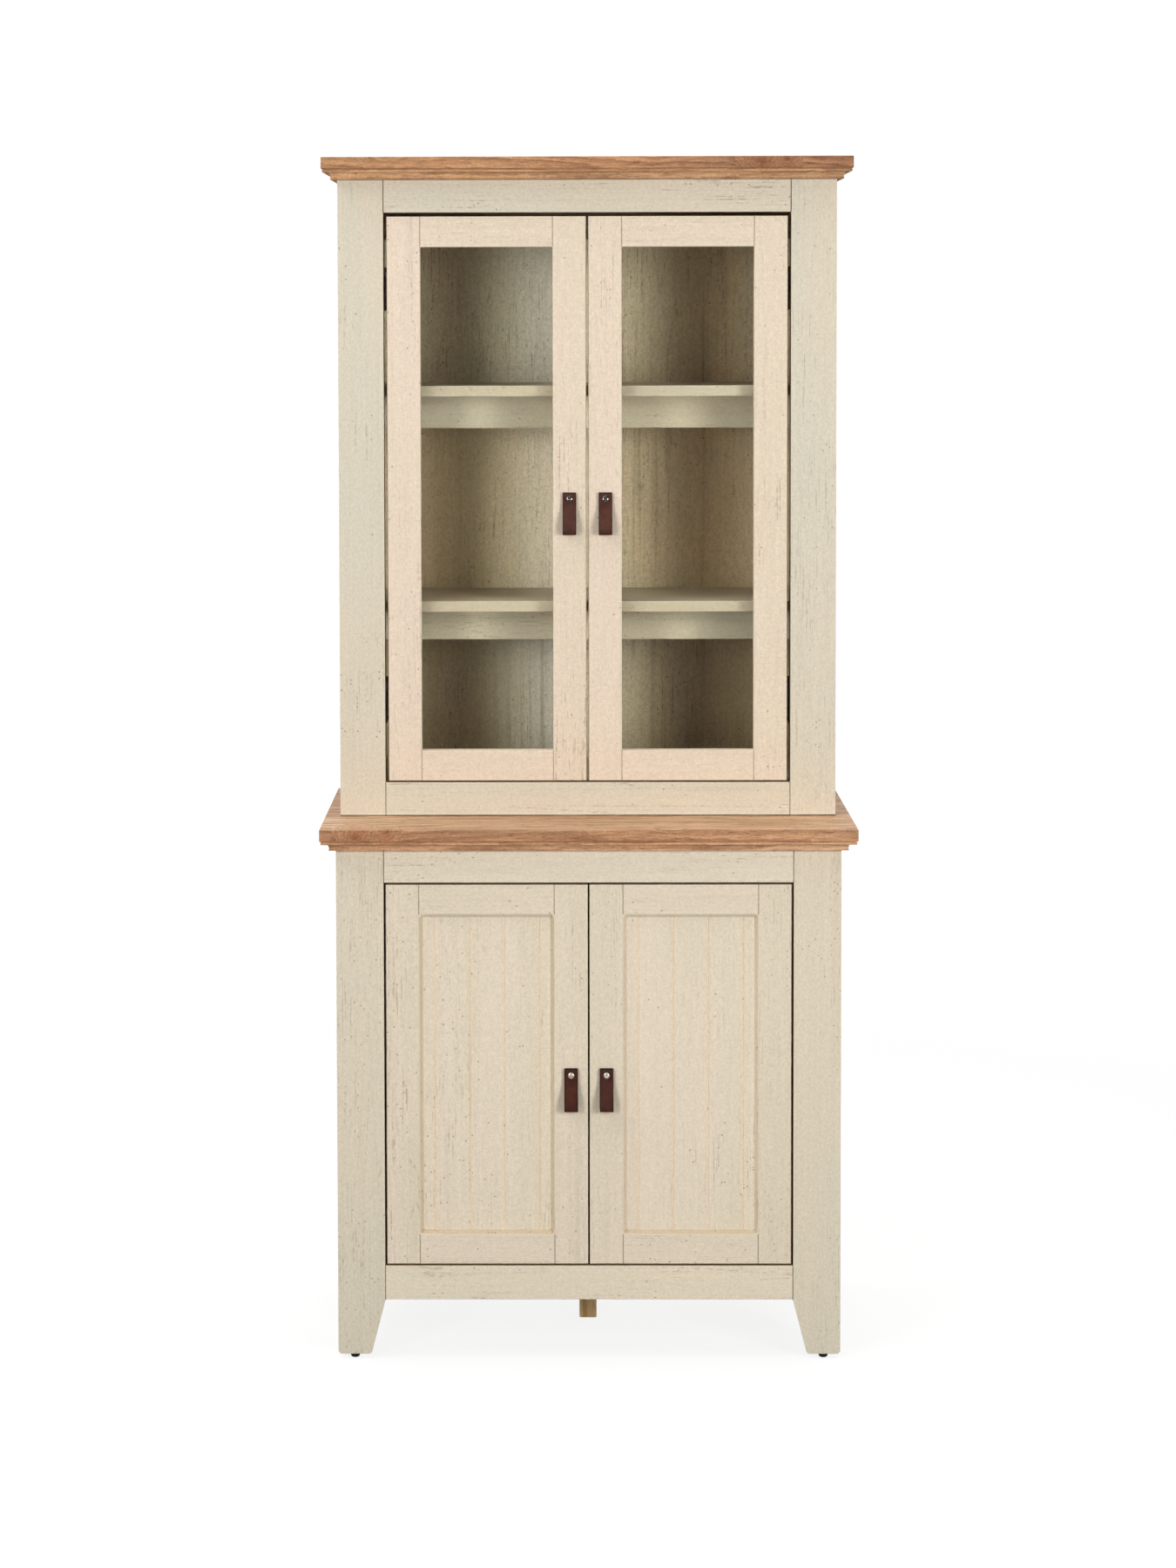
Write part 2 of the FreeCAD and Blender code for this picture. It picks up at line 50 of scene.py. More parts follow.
# ================================================================ node trees
class Tree:
    """A material's node tree, with short calls for the nodes used here."""

    def __init__(self, name):
        m = bpy.data.materials.new(name)
        m.use_nodes = True
        self.m, self.nt = m, m.node_tree
        self.nt.nodes.clear()
        self.out = self.nt.nodes.new("ShaderNodeOutputMaterial")
        self.bsdf = self.nt.nodes.new("ShaderNodeBsdfPrincipled")
        self.nt.links.new(self.bsdf.outputs[0], self.out.inputs[0])
        self.tc = self.nt.nodes.new("ShaderNodeTexCoord")

    def put(self, sock, v):
        if isinstance(v, bpy.types.NodeSocket):
            self.nt.links.new(v, sock)
        elif hasattr(sock.default_value, "__len__"):
            n = len(sock.default_value)
            v = tuple(v)
            sock.default_value = v + (1.0,) * (n - len(v)) if len(v) < n else v[:n]
        else:
            sock.default_value = v

    def math(self, op, a, b=None, c=None, clamp=False):
        n = self.nt.nodes.new("ShaderNodeMath")
        n.operation, n.use_clamp = op, clamp
        for i, v in enumerate((a, b, c)):
            if v is not None:
                self.put(n.inputs[i], v)
        return n.outputs[0]

    def vec(self, op, a, b=None, scale=None):
        n = self.nt.nodes.new("ShaderNodeVectorMath")
        n.operation = op
        self.put(n.inputs[0], a)
        if b is not None:
            self.put(n.inputs[1], b)
        if scale is not None:
            self.put(n.inputs["Scale"], scale)
        return n.outputs["Value"] if op in ("LENGTH", "DOT_PRODUCT", "DISTANCE") else n.outputs["Vector"]

    def xyz(self, v):
        n = self.nt.nodes.new("ShaderNodeSeparateXYZ")
        self.put(n.inputs[0], v)
        return n.outputs

    def join(self, x, y, z):
        n = self.nt.nodes.new("ShaderNodeCombineXYZ")
        for i, v in enumerate((x, y, z)):
            self.put(n.inputs[i], v)
        return n.outputs[0]

    def noise(self, v, scale, detail=2.0, rough=0.5, distort=0.0):
        n = self.nt.nodes.new("ShaderNodeTexNoise")
        n.noise_dimensions = "3D"
        self.put(n.inputs["Vector"], v)
        n.inputs["Scale"].default_value = scale
        n.inputs["Detail"].default_value = detail
        n.inputs["Roughness"].default_value = rough
        n.inputs["Distortion"].default_value = distort
        return n.outputs["Fac"]

    def cells(self, v, scale, feature="F1", random=1.0):
        n = self.nt.nodes.new("ShaderNodeTexVoronoi")
        n.feature = feature
        self.put(n.inputs["Vector"], v)
        n.inputs["Scale"].default_value = scale
        n.inputs["Randomness"].default_value = random
        return n.outputs

    def span(self, v, a, b, lo=0.0, hi=1.0, smooth=True):
        n = self.nt.nodes.new("ShaderNodeMapRange")
        n.interpolation_type = "SMOOTHSTEP" if smooth else "LINEAR"
        n.clamp = True
        self.put(n.inputs["Value"], v)
        for k, x in (("From Min", a), ("From Max", b), ("To Min", lo), ("To Max", hi)):
            self.put(n.inputs[k], x)
        return n.outputs["Result"]

    def mix(self, f, a, b, blend="MIX"):
        n = self.nt.nodes.new("ShaderNodeMix")
        n.data_type, n.blend_type, n.clamp_factor = "RGBA", blend, True
        self.put(n.inputs[0], f)
        self.put(n.inputs[6], a)
        self.put(n.inputs[7], b)
        return n.outputs[2]

    def ramp(self, f, stops, interp="LINEAR"):
        n = self.nt.nodes.new("ShaderNodeValToRGB")
        cr = n.color_ramp
        cr.interpolation = interp
        while len(cr.elements) < len(stops):
            cr.elements.new(0.5)
        for e, (p, c) in zip(cr.elements, stops):
            e.position = p
            e.color = tuple(c) + (1.0,) if len(c) == 3 else tuple(c)
        self.put(n.inputs[0], f)
        return n.outputs[0]

    def scaled(self, colour, f):
        """colour times a plain number."""
        n = self.nt.nodes.new("ShaderNodeVectorMath")
        n.operation = "SCALE"
        self.put(n.inputs[0], colour)
        self.put(n.inputs["Scale"], f)
        return n.outputs["Vector"]

    def bump(self, height, distance, strength=1.0, under=None):
        n = self.nt.nodes.new("ShaderNodeBump")
        self.put(n.inputs["Height"], height)
        n.inputs["Distance"].default_value = distance
        n.inputs["Strength"].default_value = strength
        if under is not None:
            self.put(n.inputs["Normal"], under)
        return n.outputs[0]


def lin(r, g, b):
    """Display values 0..255 to linear."""
    def f(c):
        c /= 255.0
        return c / 12.92 if c <= 0.04045 else ((c + 0.055) / 1.055) ** 2.4
    return (f(r), f(g), f(b))


def stretched(t, p, along, k):
    """p squeezed by k along the grain, so that what noise makes of it runs that way."""
    s = {"X": (k, 1, 1), "Y": (1, k, 1), "Z": (1, 1, k)}[along]
    return t.vec("MULTIPLY", p, s)


# ================================================================ painted wood
def cream(name, along, base, warm, shade, seed, lines=1.0, specks=1.0, smudge=0.3,
          highlight_tint=(0.97, 0.84, 0.64), edge=0.50, rough=0.47, back=False, contrast=1.0, inner=0, inner_shade_tint=(0.62, 0.51, 0.40),
          joints=(), shade_and_highlight_lines=(), bevel_light_and_shade=None, painted_light_bands=None, gap_shades=()):
    """Cream wood-effect finish: soft bands and fibres along the grain, broken grain
    lines, small pits, and a painted highlight on the eased edges. joints are thin
    dark lines where two boards meet, and painted shade along the door edges beside the gaps:
    (x, from z, to z, how dark, half width); shade_and_highlight_lines are level lines of painted
    shade and painted highlight: (z, half width, how dark, colour). bevel_light_and_shade tints the
    sloped border of a panel as painted shade and its groove walls as painted light; gap_shades
    paint shade on the narrow faces in the gaps round the doors: (axis, from, to, tint)."""
    t = Tree(name)
    p = t.vec("ADD", t.tc.outputs["Object"], (seed * 0.731, seed * 0.317, seed * 0.529))
    g1 = stretched(t, p, along, 0.07)
    g2 = stretched(t, p, along, 0.018)
    # soft tone bands
    band = t.noise(g1, 13.0, 3.0, 0.55)
    patch = t.noise(p, 3.2, 2.0, 0.5)
    tone = t.math("ADD", t.math("MULTIPLY", band, 0.65), t.math("MULTIPLY", patch, 0.35))
    col = t.mix(t.span(tone, 0.36, 0.62), base, warm)
    # fibres and the faint cross weave of the film
    fibre = t.noise(g2, 420.0, 3.0, 0.6)
    fine = t.noise(stretched(t, p, along, 3.0), 230.0, 1.0, 0.5)
    linen = t.noise(stretched(t, p, along, 0.45), 340.0, 2.0, 0.6)
    grit = t.noise(t.vec("ADD", p, (2.3, 6.1, 4.7)), 290.0, 2.0, 0.6)
    lum = t.math("ADD", t.span(fibre, 0.25, 0.75, -0.034 * contrast, 0.032 * contrast, False),
                 t.span(fine, 0.3, 0.7, -0.034 * contrast, 0.034 * contrast, False))
    lum = t.math("ADD", lum, t.span(linen, 0.3, 0.7, -0.045 * contrast, 0.045 * contrast, False))
    lum = t.math("ADD", lum, t.span(grit, 0.3, 0.7, -0.055 * contrast, 0.055 * contrast, False))
    # broad brush streaks
    streak = t.noise(stretched(t, p, along, 0.03), 62.0, 3.0, 0.6, 0.25)
    zone = t.noise(stretched(t, p, along, 0.25), 7.0, 2.0, 0.5)
    zone_f = t.span(zone, 0.42, 0.66)
    sm = t.math("MULTIPLY", t.span(streak, 0.52, 0.74), t.math("ADD", t.math("MULTIPLY", zone_f, 0.8), 0.2))
    lum = t.math("SUBTRACT", lum, t.math("MULTIPLY", sm, 0.10 * smudge))
    col = t.scaled(col, t.math("ADD", 1.0, lum))
    col = t.mix(t.math("MULTIPLY", sm, 0.30 * smudge), col, shade)
    # grain lines: contours of a field drawn out along the grain, broken into dashes
    field = t.noise(g1, 21.0, 2.0, 0.45, 0.5)
    wave = t.math("FRACT", t.math("MULTIPLY", field, 9.0))
    ridge = t.math("ABSOLUTE", t.math("SUBTRACT", wave, 0.5))
    line = t.span(ridge, 0.085, 0.015)
    where = t.span(t.noise(stretched(t, t.vec("ADD", p, (3.1, 1.7, 5.9)), along, 0.3), 8.5, 2.0, 0.55), 0.46, 0.62)
    dash = t.span(t.noise(stretched(t, p, along, 0.32), 300.0, 2.0, 0.6), 0.42, 0.60)
    line = t.math("MULTIPLY", t.math("MULTIPLY", line, where), dash)
    # fine hairs between them
    tuft = t.span(t.noise(stretched(t, t.vec("ADD", p, (7.7, 2.9, 4.3)), along, 0.35), 13.0, 2.0, 0.5), 0.48, 0.60)
    hair = t.span(t.noise(stretched(t, p, along, 0.025), 430.0, 1.0, 0.5), 0.60, 0.67)
    hair = t.math("MULTIPLY", t.math("MULTIPLY", hair, tuft), t.span(dash, 0.0, 1.0, 0.15, 1.0))
    # pits
    c1 = t.cells(stretched(t, p, along, 0.7), 210.0)
    pick = t.xyz(c1["Color"])
    pit = t.math("MULTIPLY", t.span(c1["Distance"], 0.30, 0.14),
                 t.math("GREATER_THAN", pick[0], t.span(t.math("MAXIMUM", tuft, t.span(zone, 0.50, 0.68)), 0.0, 1.0, 0.990, 0.88)))
    c2 = t.cells(stretched(t, t.vec("ADD", p, (1.3, 4.1, 2.7)), along, 0.55), 95.0)
    pit2 = t.math("MULTIPLY", t.span(c2["Distance"], 0.15, 0.06),
                  t.math("GREATER_THAN", t.xyz(c2["Color"])[1], 0.93))
    pit = t.math("MAXIMUM", pit, pit2)
    brown = t.vec("MULTIPLY", shade, (0.74, 0.62, 0.44))
    dark = t.mix(t.noise(p, 40.0, 1.0), brown, shade)
    mark = t.math("MAXIMUM", t.math("MULTIPLY", line, 0.24 * lines), t.math("MULTIPLY", hair, 0.42 * lines))
    mark = t.math("MAXIMUM", mark, t.math("MULTIPLY", pit, 0.64 * specks), clamp=True)
    col = t.mix(mark, col, dark)
    # painted highlight: a paler tinge on the eased edges
    n = t.xyz(t.vec("ABSOLUTE", t.tc.outputs["Normal"]))
    flat = t.math("MAXIMUM", t.math("MAXIMUM", n[0], n[1]), n[2])
    eased_edge_mask = t.math("MULTIPLY", t.span(flat, 0.985, 0.86), t.span(t.noise(p, 60.0, 2.0), 0.30, 0.62, 0.55, 1.0))
    col = t.mix(t.math("MULTIPLY", eased_edge_mask, edge), col, highlight_tint)
    at = t.xyz(t.tc.outputs["Object"])
    side = t.math("ABSOLUTE", at[0])
    if bevel_light_and_shade:
        # painted shade on the sloped border faces of a panel, painted light on its groove walls to offset their shading
        rim = t.math("MAXIMUM", t.math("GREATER_THAN", side, 0.2470), t.math("LESS_THAN", side, 0.0575))
        tint = t.mix(rim, (1.05, 0.99, 0.93), bevel_light_and_shade)
        col = t.mix(t.span(n[0], 0.2, 0.45), col, t.vec("MULTIPLY", col, tint))
        # painted shade on the sloped faces turned up
        upward_face_shade = t.span(t.xyz(t.tc.outputs["Normal"])[2], 0.15, 0.35)
        col = t.mix(upward_face_shade, col, t.vec("MULTIPLY", col, (0.71, 0.65, 0.56)))
    # painted shade on the narrow faces in the gaps round the doors
    for axis, lo, hi, tint in gap_shades:
        facing, place = (n[0], side) if axis == "X" else (n[2], at[2])
        m = t.math("MULTIPLY", t.span(facing, 0.40, 0.75), t.math("GREATER_THAN", place, lo))
        m = t.math("MULTIPLY", m, t.math("LESS_THAN", place, hi))
        col = t.mix(m, col, t.vec("MULTIPLY", col, tint))
    # dark lines at the joints between boards, and painted shade along the door edges beside the gaps
    for x, z0, z1, amount, half in joints:
        m = t.span(t.math("ABSOLUTE", t.math("SUBTRACT", side, x)), half, half * 0.4)
        m = t.math("MULTIPLY", m, t.math("GREATER_THAN", at[2], z0))
        m = t.math("MULTIPLY", m, t.math("LESS_THAN", at[2], z1))
        m = t.math("MULTIPLY", m, t.span(t.noise(p, 90.0, 2.0), 0.30, 0.60, 0.75 * amount, amount))
        col = t.mix(m, col, t.vec("MULTIPLY", brown, (0.50, 0.42, 0.30)))
    # painted shade and one painted highlight along level lines
    for z, half, amount, colour in shade_and_highlight_lines:
        m = t.span(t.math("ABSOLUTE", t.math("SUBTRACT", at[2], z)), half, half * 0.3)
        m = t.math("MULTIPLY", m, t.span(t.noise(p, 30.0, 2.0), 0.30, 0.60, 0.75 * amount, amount))
        col = t.mix(m, col, colour or t.scaled(brown, 0.40))
    if painted_light_bands:
        # painted light and shade on a back panel, where light through the glass falls and doesn't: darker, browner
        # bands beside the middle and low down
        sides = t.math("MULTIPLY", t.span(side, 0.12, 0.19), t.span(side, 0.275, 0.225, 0.0, 0.55))
        low = t.math("MULTIPLY", t.span(at[2], 1.12, 1.06), t.span(side, 0.05, 0.22, 0.0, 0.65))
        f = t.math("ADD", sides, low, clamp=True)
        col = t.mix(f, col, t.vec("MULTIPLY", col, painted_light_bands))
        # painted light: lighter to the right, most above the lowest compartment
        right = t.mix(t.span(at[2], 1.06, 1.14), (1.06, 0.98, 0.90), (1.28, 1.19, 1.08))
        col = t.mix(t.span(at[0], 0.03, 0.10), col, t.vec("MULTIPLY", col, right))
        # painted shade: darker at the right end, most in the top compartment
        end = t.mix(t.span(at[2], 1.40, 1.46), (0.86, 0.86, 0.88), (0.72, 0.72, 0.76))
        col = t.mix(t.span(at[0], 0.22, 0.29), col, t.vec("MULTIPLY", col, end))
        # painted light and shade: lighter at the far left, bluer and less red just left of the middle
        left = t.mix(t.span(at[0], -0.16, -0.05), (1.10, 1.08, 1.05), (0.88, 0.93, 1.10))
        col = t.mix(t.span(at[0], 0.0, -0.02), col, t.vec("MULTIPLY", col, left))
        # painted light: lighter left of the middle in the middle compartment
        middle = t.math("MULTIPLY", t.span(at[2], 1.06, 1.14), t.span(at[2], 1.46, 1.40))
        col = t.mix(t.math("MULTIPLY", middle, t.span(at[0], 0.0, -0.05)), col, t.vec("MULTIPLY", col, (1.18, 1.12, 1.04)))
    if inner:
        # painted shade: the face towards the inside of the cabinet is darker and browner; inner is its side in x
        nx = t.math("MULTIPLY", t.xyz(t.tc.outputs["Normal"])[0], float(inner))
        col = t.mix(t.span(nx, 0.4, 0.6), col, t.vec("MULTIPLY", col, inner_shade_tint))
    if back:
        # the rear face of a back panel is raw hardboard
        ny = t.xyz(t.tc.outputs["Normal"])[1]
        board = t.mix(t.span(t.noise(p, 700.0, 3.0, 0.7), 0.3, 0.7), lin(150, 117, 82), lin(176, 143, 104))
        board = t.mix(t.span(t.noise(p, 9.0, 3.0, 0.6), 0.35, 0.7, 0.0, 0.35), board, lin(132, 101, 70))
        col = t.mix(t.span(ny, 0.4, 0.6), col, board)
    t.put(t.bsdf.inputs["Base Color"], col)
    r = t.math("ADD", rough, t.span(fibre, 0.3, 0.7, -0.05, 0.05, False))
    r = t.math("ADD", r, t.math("MULTIPLY", mark, 0.25))
    r = t.math("ADD", r, t.span(band, 0.35, 0.65, -0.03, 0.03), clamp=True)
    t.put(t.bsdf.inputs["Roughness"], r)
    h = t.math("ADD", t.math("MULTIPLY", fibre, 0.22), t.math("MULTIPLY", fine, 0.08))
    h = t.math("SUBTRACT", h, t.math("MULTIPLY", mark, 0.9))
    t.put(t.bsdf.inputs["Normal"], t.bump(h, 0.00022, 0.75))
    t.bsdf.inputs["Specular IOR Level"].default_value = 0.38
    return t.m


# ================================================================ oak effect
def oak(name, seed, mould=False, tone=(1.0, 1.0, 1.0), top=(1.0, 1.0, 1.0), ends=None, knots=()):
    """Oak boards and mouldings: cathedral figure, streaks, pores, knots; the grain turns
    with the edge on the two ends. knots are (x, y, z, size); ends gives the tint at the
    left end, in the middle and at the right end."""
    t = Tree(name)
    o = t.tc.outputs["Object"]
    n_abs = t.xyz(t.vec("ABSOLUTE", t.tc.outputs["Normal"]))
    end = t.math("GREATER_THAN", n_abs[0], t.math("MAXIMUM", n_abs[1], 0.35) if mould else 0.6)
    q = t.xyz(o)
    swapped = t.join(q[1], q[0], q[2])
    mixed = t.nt.nodes.new("ShaderNodeMix")
    mixed.data_type = "VECTOR"
    t.put(mixed.inputs[0], end)
    t.put(mixed.inputs[4], o)
    t.put(mixed.inputs[5], swapped)
    p = t.vec("ADD", mixed.outputs[1], (seed * 1.37, seed * 0.71, seed * 0.43))
    # knots push the figure aside
    kv = t.vec("MULTIPLY", p, (1.0, 2.2, 2.2))
    kc = t.cells(kv, 5.2)
    knot_d = kc["Distance"]
    chosen = t.math("GREATER_THAN", t.xyz(kc["Color"])[0], 0.55)
    swell = t.math("MULTIPLY", t.span(knot_d, 0.30, 0.0), chosen)
    core = t.math("MULTIPLY", t.span(knot_d, 0.060, 0.022), chosen)
    rough_edge = t.noise(p, 210.0, 2.0, 0.6)
    for x, y, z, size in knots:
        # tall loops that run off the board's edges, round a small ragged core
        d = t.vec("SUBTRACT", o, (x, y, z))
        away = t.vec("LENGTH", t.vec("MULTIPLY", d, (1.0 / size, 0.62 / size, 0.62 / size)))
        away = t.math("ADD", away, t.span(rough_edge, 0.25, 0.75, -0.30, 0.30, False))
        swell = t.math("MAXIMUM", swell, t.span(away, 3.4, 0.2))
        near = t.vec("LENGTH", t.vec("MULTIPLY", d, (1.0 / size, 1.3 / size, 1.3 / size)))
        near = t.math("ADD", near, t.span(rough_edge, 0.25, 0.75, -0.45, 0.45, False))
        core = t.math("MAXIMUM", core, t.span(near, 0.75, 0.25, 0.0, 0.8))
    g = stretched(t, p, "X", 0.085)
    field = t.noise(g, 9.5, 3.0, 0.5, 0.35)
    field = t.math("ADD", field, t.math("MULTIPLY", swell, 0.28))
    wob = t.noise(stretched(t, p, "X", 0.35), 95.0, 3.0, 0.6)
    rings = t.math("FRACT", t.math("ADD", t.math("MULTIPLY", field, 16.0), t.math("MULTIPLY", wob, 0.75)))
    # each ring darkens slowly and ends sharply
    ring = t.math("MULTIPLY", t.span(rings, 0.10, 0.82, smooth=True), t.span(rings, 1.0, 0.90))
    fibre = t.noise(stretched(t, p, "X", 0.10), 430.0, 3.0, 0.62)
    broad = t.noise(stretched(t, p, "X", 0.16), 7.5, 3.0, 0.55)
    c_light, c_mid, c_dark = lin(216, 166, 124), lin(192, 136, 95), lin(140, 88, 55)
    col = t.mix(t.span(broad, 0.30, 0.68), c_light, c_mid)
    col = t.mix(t.math("MULTIPLY", ring, 0.50), col, c_dark)
    col = t.scaled(col, t.span(fibre, 0.25, 0.75, 0.72, 1.18, False))
    # fine dark streaks, close together on the edges
    streak = t.noise(stretched(t, t.vec("ADD", p, t.vec("SCALE", t.join(0.0, 0.0, swell), scale=0.02)), "X", 0.11), 290.0, 2.0, 0.6, 0.4)
    col = t.mix(t.span(streak, 0.50, 0.66, 0.0, 0.55), col, t.vec("MULTIPLY", col, (0.62, 0.52, 0.48)))
    col = t.mix(t.span(streak, 0.44, 0.32, 0.0, 0.30), col, t.vec("MULTIPLY", col, (1.12, 1.12, 1.11)))
    # short flecks across the fibres
    fleck = t.noise(stretched(t, t.vec("ADD", p, (4.4, 8.8, 1.1)), "X", 0.8), 300.0, 2.0, 0.6)
    col = t.scaled(col, t.span(fleck, 0.28, 0.72, 0.82, 1.12, False))
    # reddish and greyish drifts
    col = t.mix(t.span(t.noise(stretched(t, p, "X", 0.2), 15.0, 2.0), 0.52, 0.75, 0.0, 0.32), col, lin(196, 124, 88))
    col = t.mix(t.span(t.noise(stretched(t, t.vec("ADD", p, (5.0, 2.0, 1.0)), "X", 0.12), 24.0, 2.0), 0.56, 0.78, 0.0, 0.30),
                col, lin(150, 120, 92))
    # pores
    pore = t.span(t.noise(stretched(t, p, "X", 0.16), 520.0, 1.0, 0.5), 0.60, 0.70)
    pore = t.math("MULTIPLY", pore, t.span(ring, 0.15, 0.75, 0.25, 1.0))
    col = t.mix(t.math("MULTIPLY", pore, 0.55), col, lin(112, 68, 42))
    knot_col = t.mix(t.span(t.noise(p, 260.0, 2.0), 0.35, 0.65), lin(96, 52, 30), lin(134, 78, 46))
    col = t.mix(t.math("MULTIPLY", core, 0.85), col, knot_col)
    col = t.mix(t.math("MULTIPLY", t.span(swell, 0.45, 0.95), 0.35), col, lin(170, 104, 66))
    # worn arrises, a little lighter
    flat = t.math("MAXIMUM", t.math("MAXIMUM", n_abs[0], n_abs[1]), n_abs[2])
    eased_edge_mask = t.math("MULTIPLY", t.span(flat, 0.99, 0.88), t.span(t.noise(p, 48.0, 2.0), 0.35, 0.65, 0.2, 1.0))
    if not mould:
        col = t.mix(t.math("MULTIPLY", eased_edge_mask, 0.45), col, lin(138, 94, 66))
    col = t.vec("MULTIPLY", col, tone)
    # painted light: the faces turned up are paler and less saturated, standing in for light from above
    if top != (1.0, 1.0, 1.0):
        col = t.mix(t.span(t.xyz(t.tc.outputs["Normal"])[2], 0.5, 0.8), col, t.vec("MULTIPLY", col, top))
    if ends:
        # the board is paler towards one end
        col = t.vec("MULTIPLY", col, t.mix(t.span(q[0], 0.0, 0.32), t.mix(t.span(q[0], -0.32, 0.0), ends[0], ends[1]), ends[2]))
    t.put(t.bsdf.inputs["Base Color"], col)
    r = t.math("ADD", t.span(fibre, 0.3, 0.7, 0.40, 0.52, False), t.math("MULTIPLY", pore, 0.2))
    t.put(t.bsdf.inputs["Roughness"], t.math("ADD", r, t.math("MULTIPLY", ring, 0.05), clamp=True))
    h = t.math("SUBTRACT", t.math("MULTIPLY", fibre, 0.30), t.math("MULTIPLY", pore, 0.8))
    h = t.math("SUBTRACT", h, t.math("MULTIPLY", core, 0.5))
    t.put(t.bsdf.inputs["Normal"], t.bump(h, 0.00022, 0.7))
    t.bsdf.inputs["Specular IOR Level"].default_value = 0.42
    return t.m


def raw_wood(name, along, light, dark, seed, rough=0.62):
    """Plain unpainted wood, for the support leg, the packing blocks and the dowels; the leg's copy is made far paler as
    painted light and the blocks' copy near black as painted shade.
    """
    t = Tree(name)
    p = t.vec("ADD", t.tc.outputs["Object"], (seed * 0.9, seed * 0.5, seed * 0.3))
    field = t.noise(stretched(t, p, along, 0.09), 30.0, 2.0, 0.5, 0.5)
    ring = t.span(t.math("ABSOLUTE", t.math("SUBTRACT", t.math("FRACT", t.math("MULTIPLY", field, 7.0)), 0.5)), 0.05, 0.45)
    fibre = t.noise(stretched(t, p, along, 0.03), 500.0, 3.0, 0.6)
    col = t.mix(ring, dark, light)
    col = t.scaled(col, t.span(fibre, 0.25, 0.75, 0.82, 1.1, False))
    pore = t.span(t.noise(stretched(t, p, along, 0.07), 700.0, 1.0), 0.63, 0.72)
    col = t.mix(t.math("MULTIPLY", pore, 0.5), col, t.scaled(dark, 0.45))
    t.put(t.bsdf.inputs["Base Color"], col)
    t.put(t.bsdf.inputs["Roughness"], t.math("ADD", rough, t.span(fibre, 0.3, 0.7, -0.06, 0.06, False)))
    t.put(t.bsdf.inputs["Normal"], t.bump(t.math("SUBTRACT", fibre, t.math("MULTIPLY", pore, 0.8)), 0.00025, 0.7))
    t.bsdf.inputs["Specular IOR Level"].default_value = 0.3
    return t.m


# ================================================================ leather
def leather(name, seed, tone=(1.0, 1.0, 1.0)):
    """Dark red-brown strap: grain cells, soft mottling, dark painted edges."""
    t = Tree(name)
    uv = t.xyz(t.tc.outputs["UV"])
    p = t.vec("ADD", t.tc.outputs["Object"], (seed * 0.37, seed * 0.83, seed * 0.21))
    mott = t.noise(p, 90.0, 3.0, 0.6)
    long_ = t.noise(t.vec("MULTIPLY", p, (1.0, 1.0, 0.12)), 260.0, 2.0, 0.5)
    col = t.mix(t.span(mott, 0.32, 0.68), lin(84, 48, 40), lin(99, 59, 47))
    col = t.mix(t.span(long_, 0.50, 0.72, 0.0, 0.45), col, lin(98, 66, 52))
    cell = t.cells(t.vec("ADD", p, t.vec("SCALE", t.join(mott, long_, mott), scale=0.0015)), 1250.0, "DISTANCE_TO_EDGE")
    vein = t.span(cell["Distance"], 0.14, 0.02)
    col = t.mix(t.math("MULTIPLY", vein, 0.45), col, lin(44, 22, 19))
    pit = t.span(t.noise(p, 1500.0, 1.0), 0.66, 0.74)
    col = t.mix(t.math("MULTIPLY", pit, 0.5), col, lin(36, 18, 15))
    # u runs over the width: the dyed edges are nearly black
    off = t.math("ABSOLUTE", t.math("SUBTRACT", uv[0], 0.5))
    off = t.math("ADD", off, t.span(t.noise(p, 420.0, 2.0), 0.3, 0.7, -0.014, 0.014))
    rim = t.span(off, 0.425, 0.468)
    col = t.mix(t.math("MULTIPLY", rim, 0.85), col, lin(26, 12, 9))
    crease = t.span(off, 0.37, 0.395, 0.0, 1.0)
    crease = t.math("MULTIPLY", crease, t.span(off, 0.43, 0.41, 0.0, 1.0))
    col = t.mix(t.math("MULTIPLY", crease, 0.30), col, lin(44, 22, 18))
    tip = t.span(uv[1], 0.985, 0.995)
    tip = t.math("MAXIMUM", tip, t.span(uv[1], 0.015, 0.005))
    col = t.mix(t.math("MULTIPLY", tip, 0.75), col, lin(30, 14, 10))
    t.put(t.bsdf.inputs["Base Color"], t.vec("MULTIPLY", col, tone))
    r = t.math("ADD", t.span(mott, 0.3, 0.7, 0.46, 0.60, False), t.math("MULTIPLY", vein, 0.15))
    t.put(t.bsdf.inputs["Roughness"], t.math("ADD", r, t.math("MULTIPLY", rim, -0.06)))
    h = t.math("SUBTRACT", t.math("MULTIPLY", mott, 0.5), t.math("MULTIPLY", vein, 0.6))
    h = t.math("SUBTRACT", h, t.math("MULTIPLY", crease, 0.9))
    h = t.math("SUBTRACT", h, t.math("MULTIPLY", pit, 0.4))
    t.put(t.bsdf.inputs["Normal"], t.bump(h, 0.00028, 0.8))
    t.bsdf.inputs["Specular IOR Level"].default_value = 0.16
    return t.m


# ================================================================ metal, glass, plastic
def metal(name, colour, rough, seed, brushed=None, dirt=0.25):
    t = Tree(name)
    p = t.vec("ADD", t.tc.outputs["Object"], (seed * 0.37, seed * 0.83, seed * 0.21))
    s = p if brushed is None else stretched(t, p, brushed, 0.04)
    scr = t.noise(s, 1400.0, 2.0, 0.6)
    cloud = t.noise(p, 160.0, 3.0, 0.6)
    col = t.scaled(colour, t.span(cloud, 0.3, 0.7, 0.90, 1.06, False))
    grime = t.span(cloud, 0.56, 0.76)
    col = t.mix(t.math("MULTIPLY", grime, dirt), col, t.scaled(colour, 0.45))
    t.put(t.bsdf.inputs["Base Color"], col)
    t.bsdf.inputs["Metallic"].default_value = 1.0
    r = t.math("ADD", rough, t.span(scr, 0.3, 0.7, -0.05, 0.07, False))
    t.put(t.bsdf.inputs["Roughness"], t.math("ADD", r, t.math("MULTIPLY", grime, 0.12), clamp=True))
    t.put(t.bsdf.inputs["Normal"], t.bump(scr, 0.00004, 0.5))
    return t.m


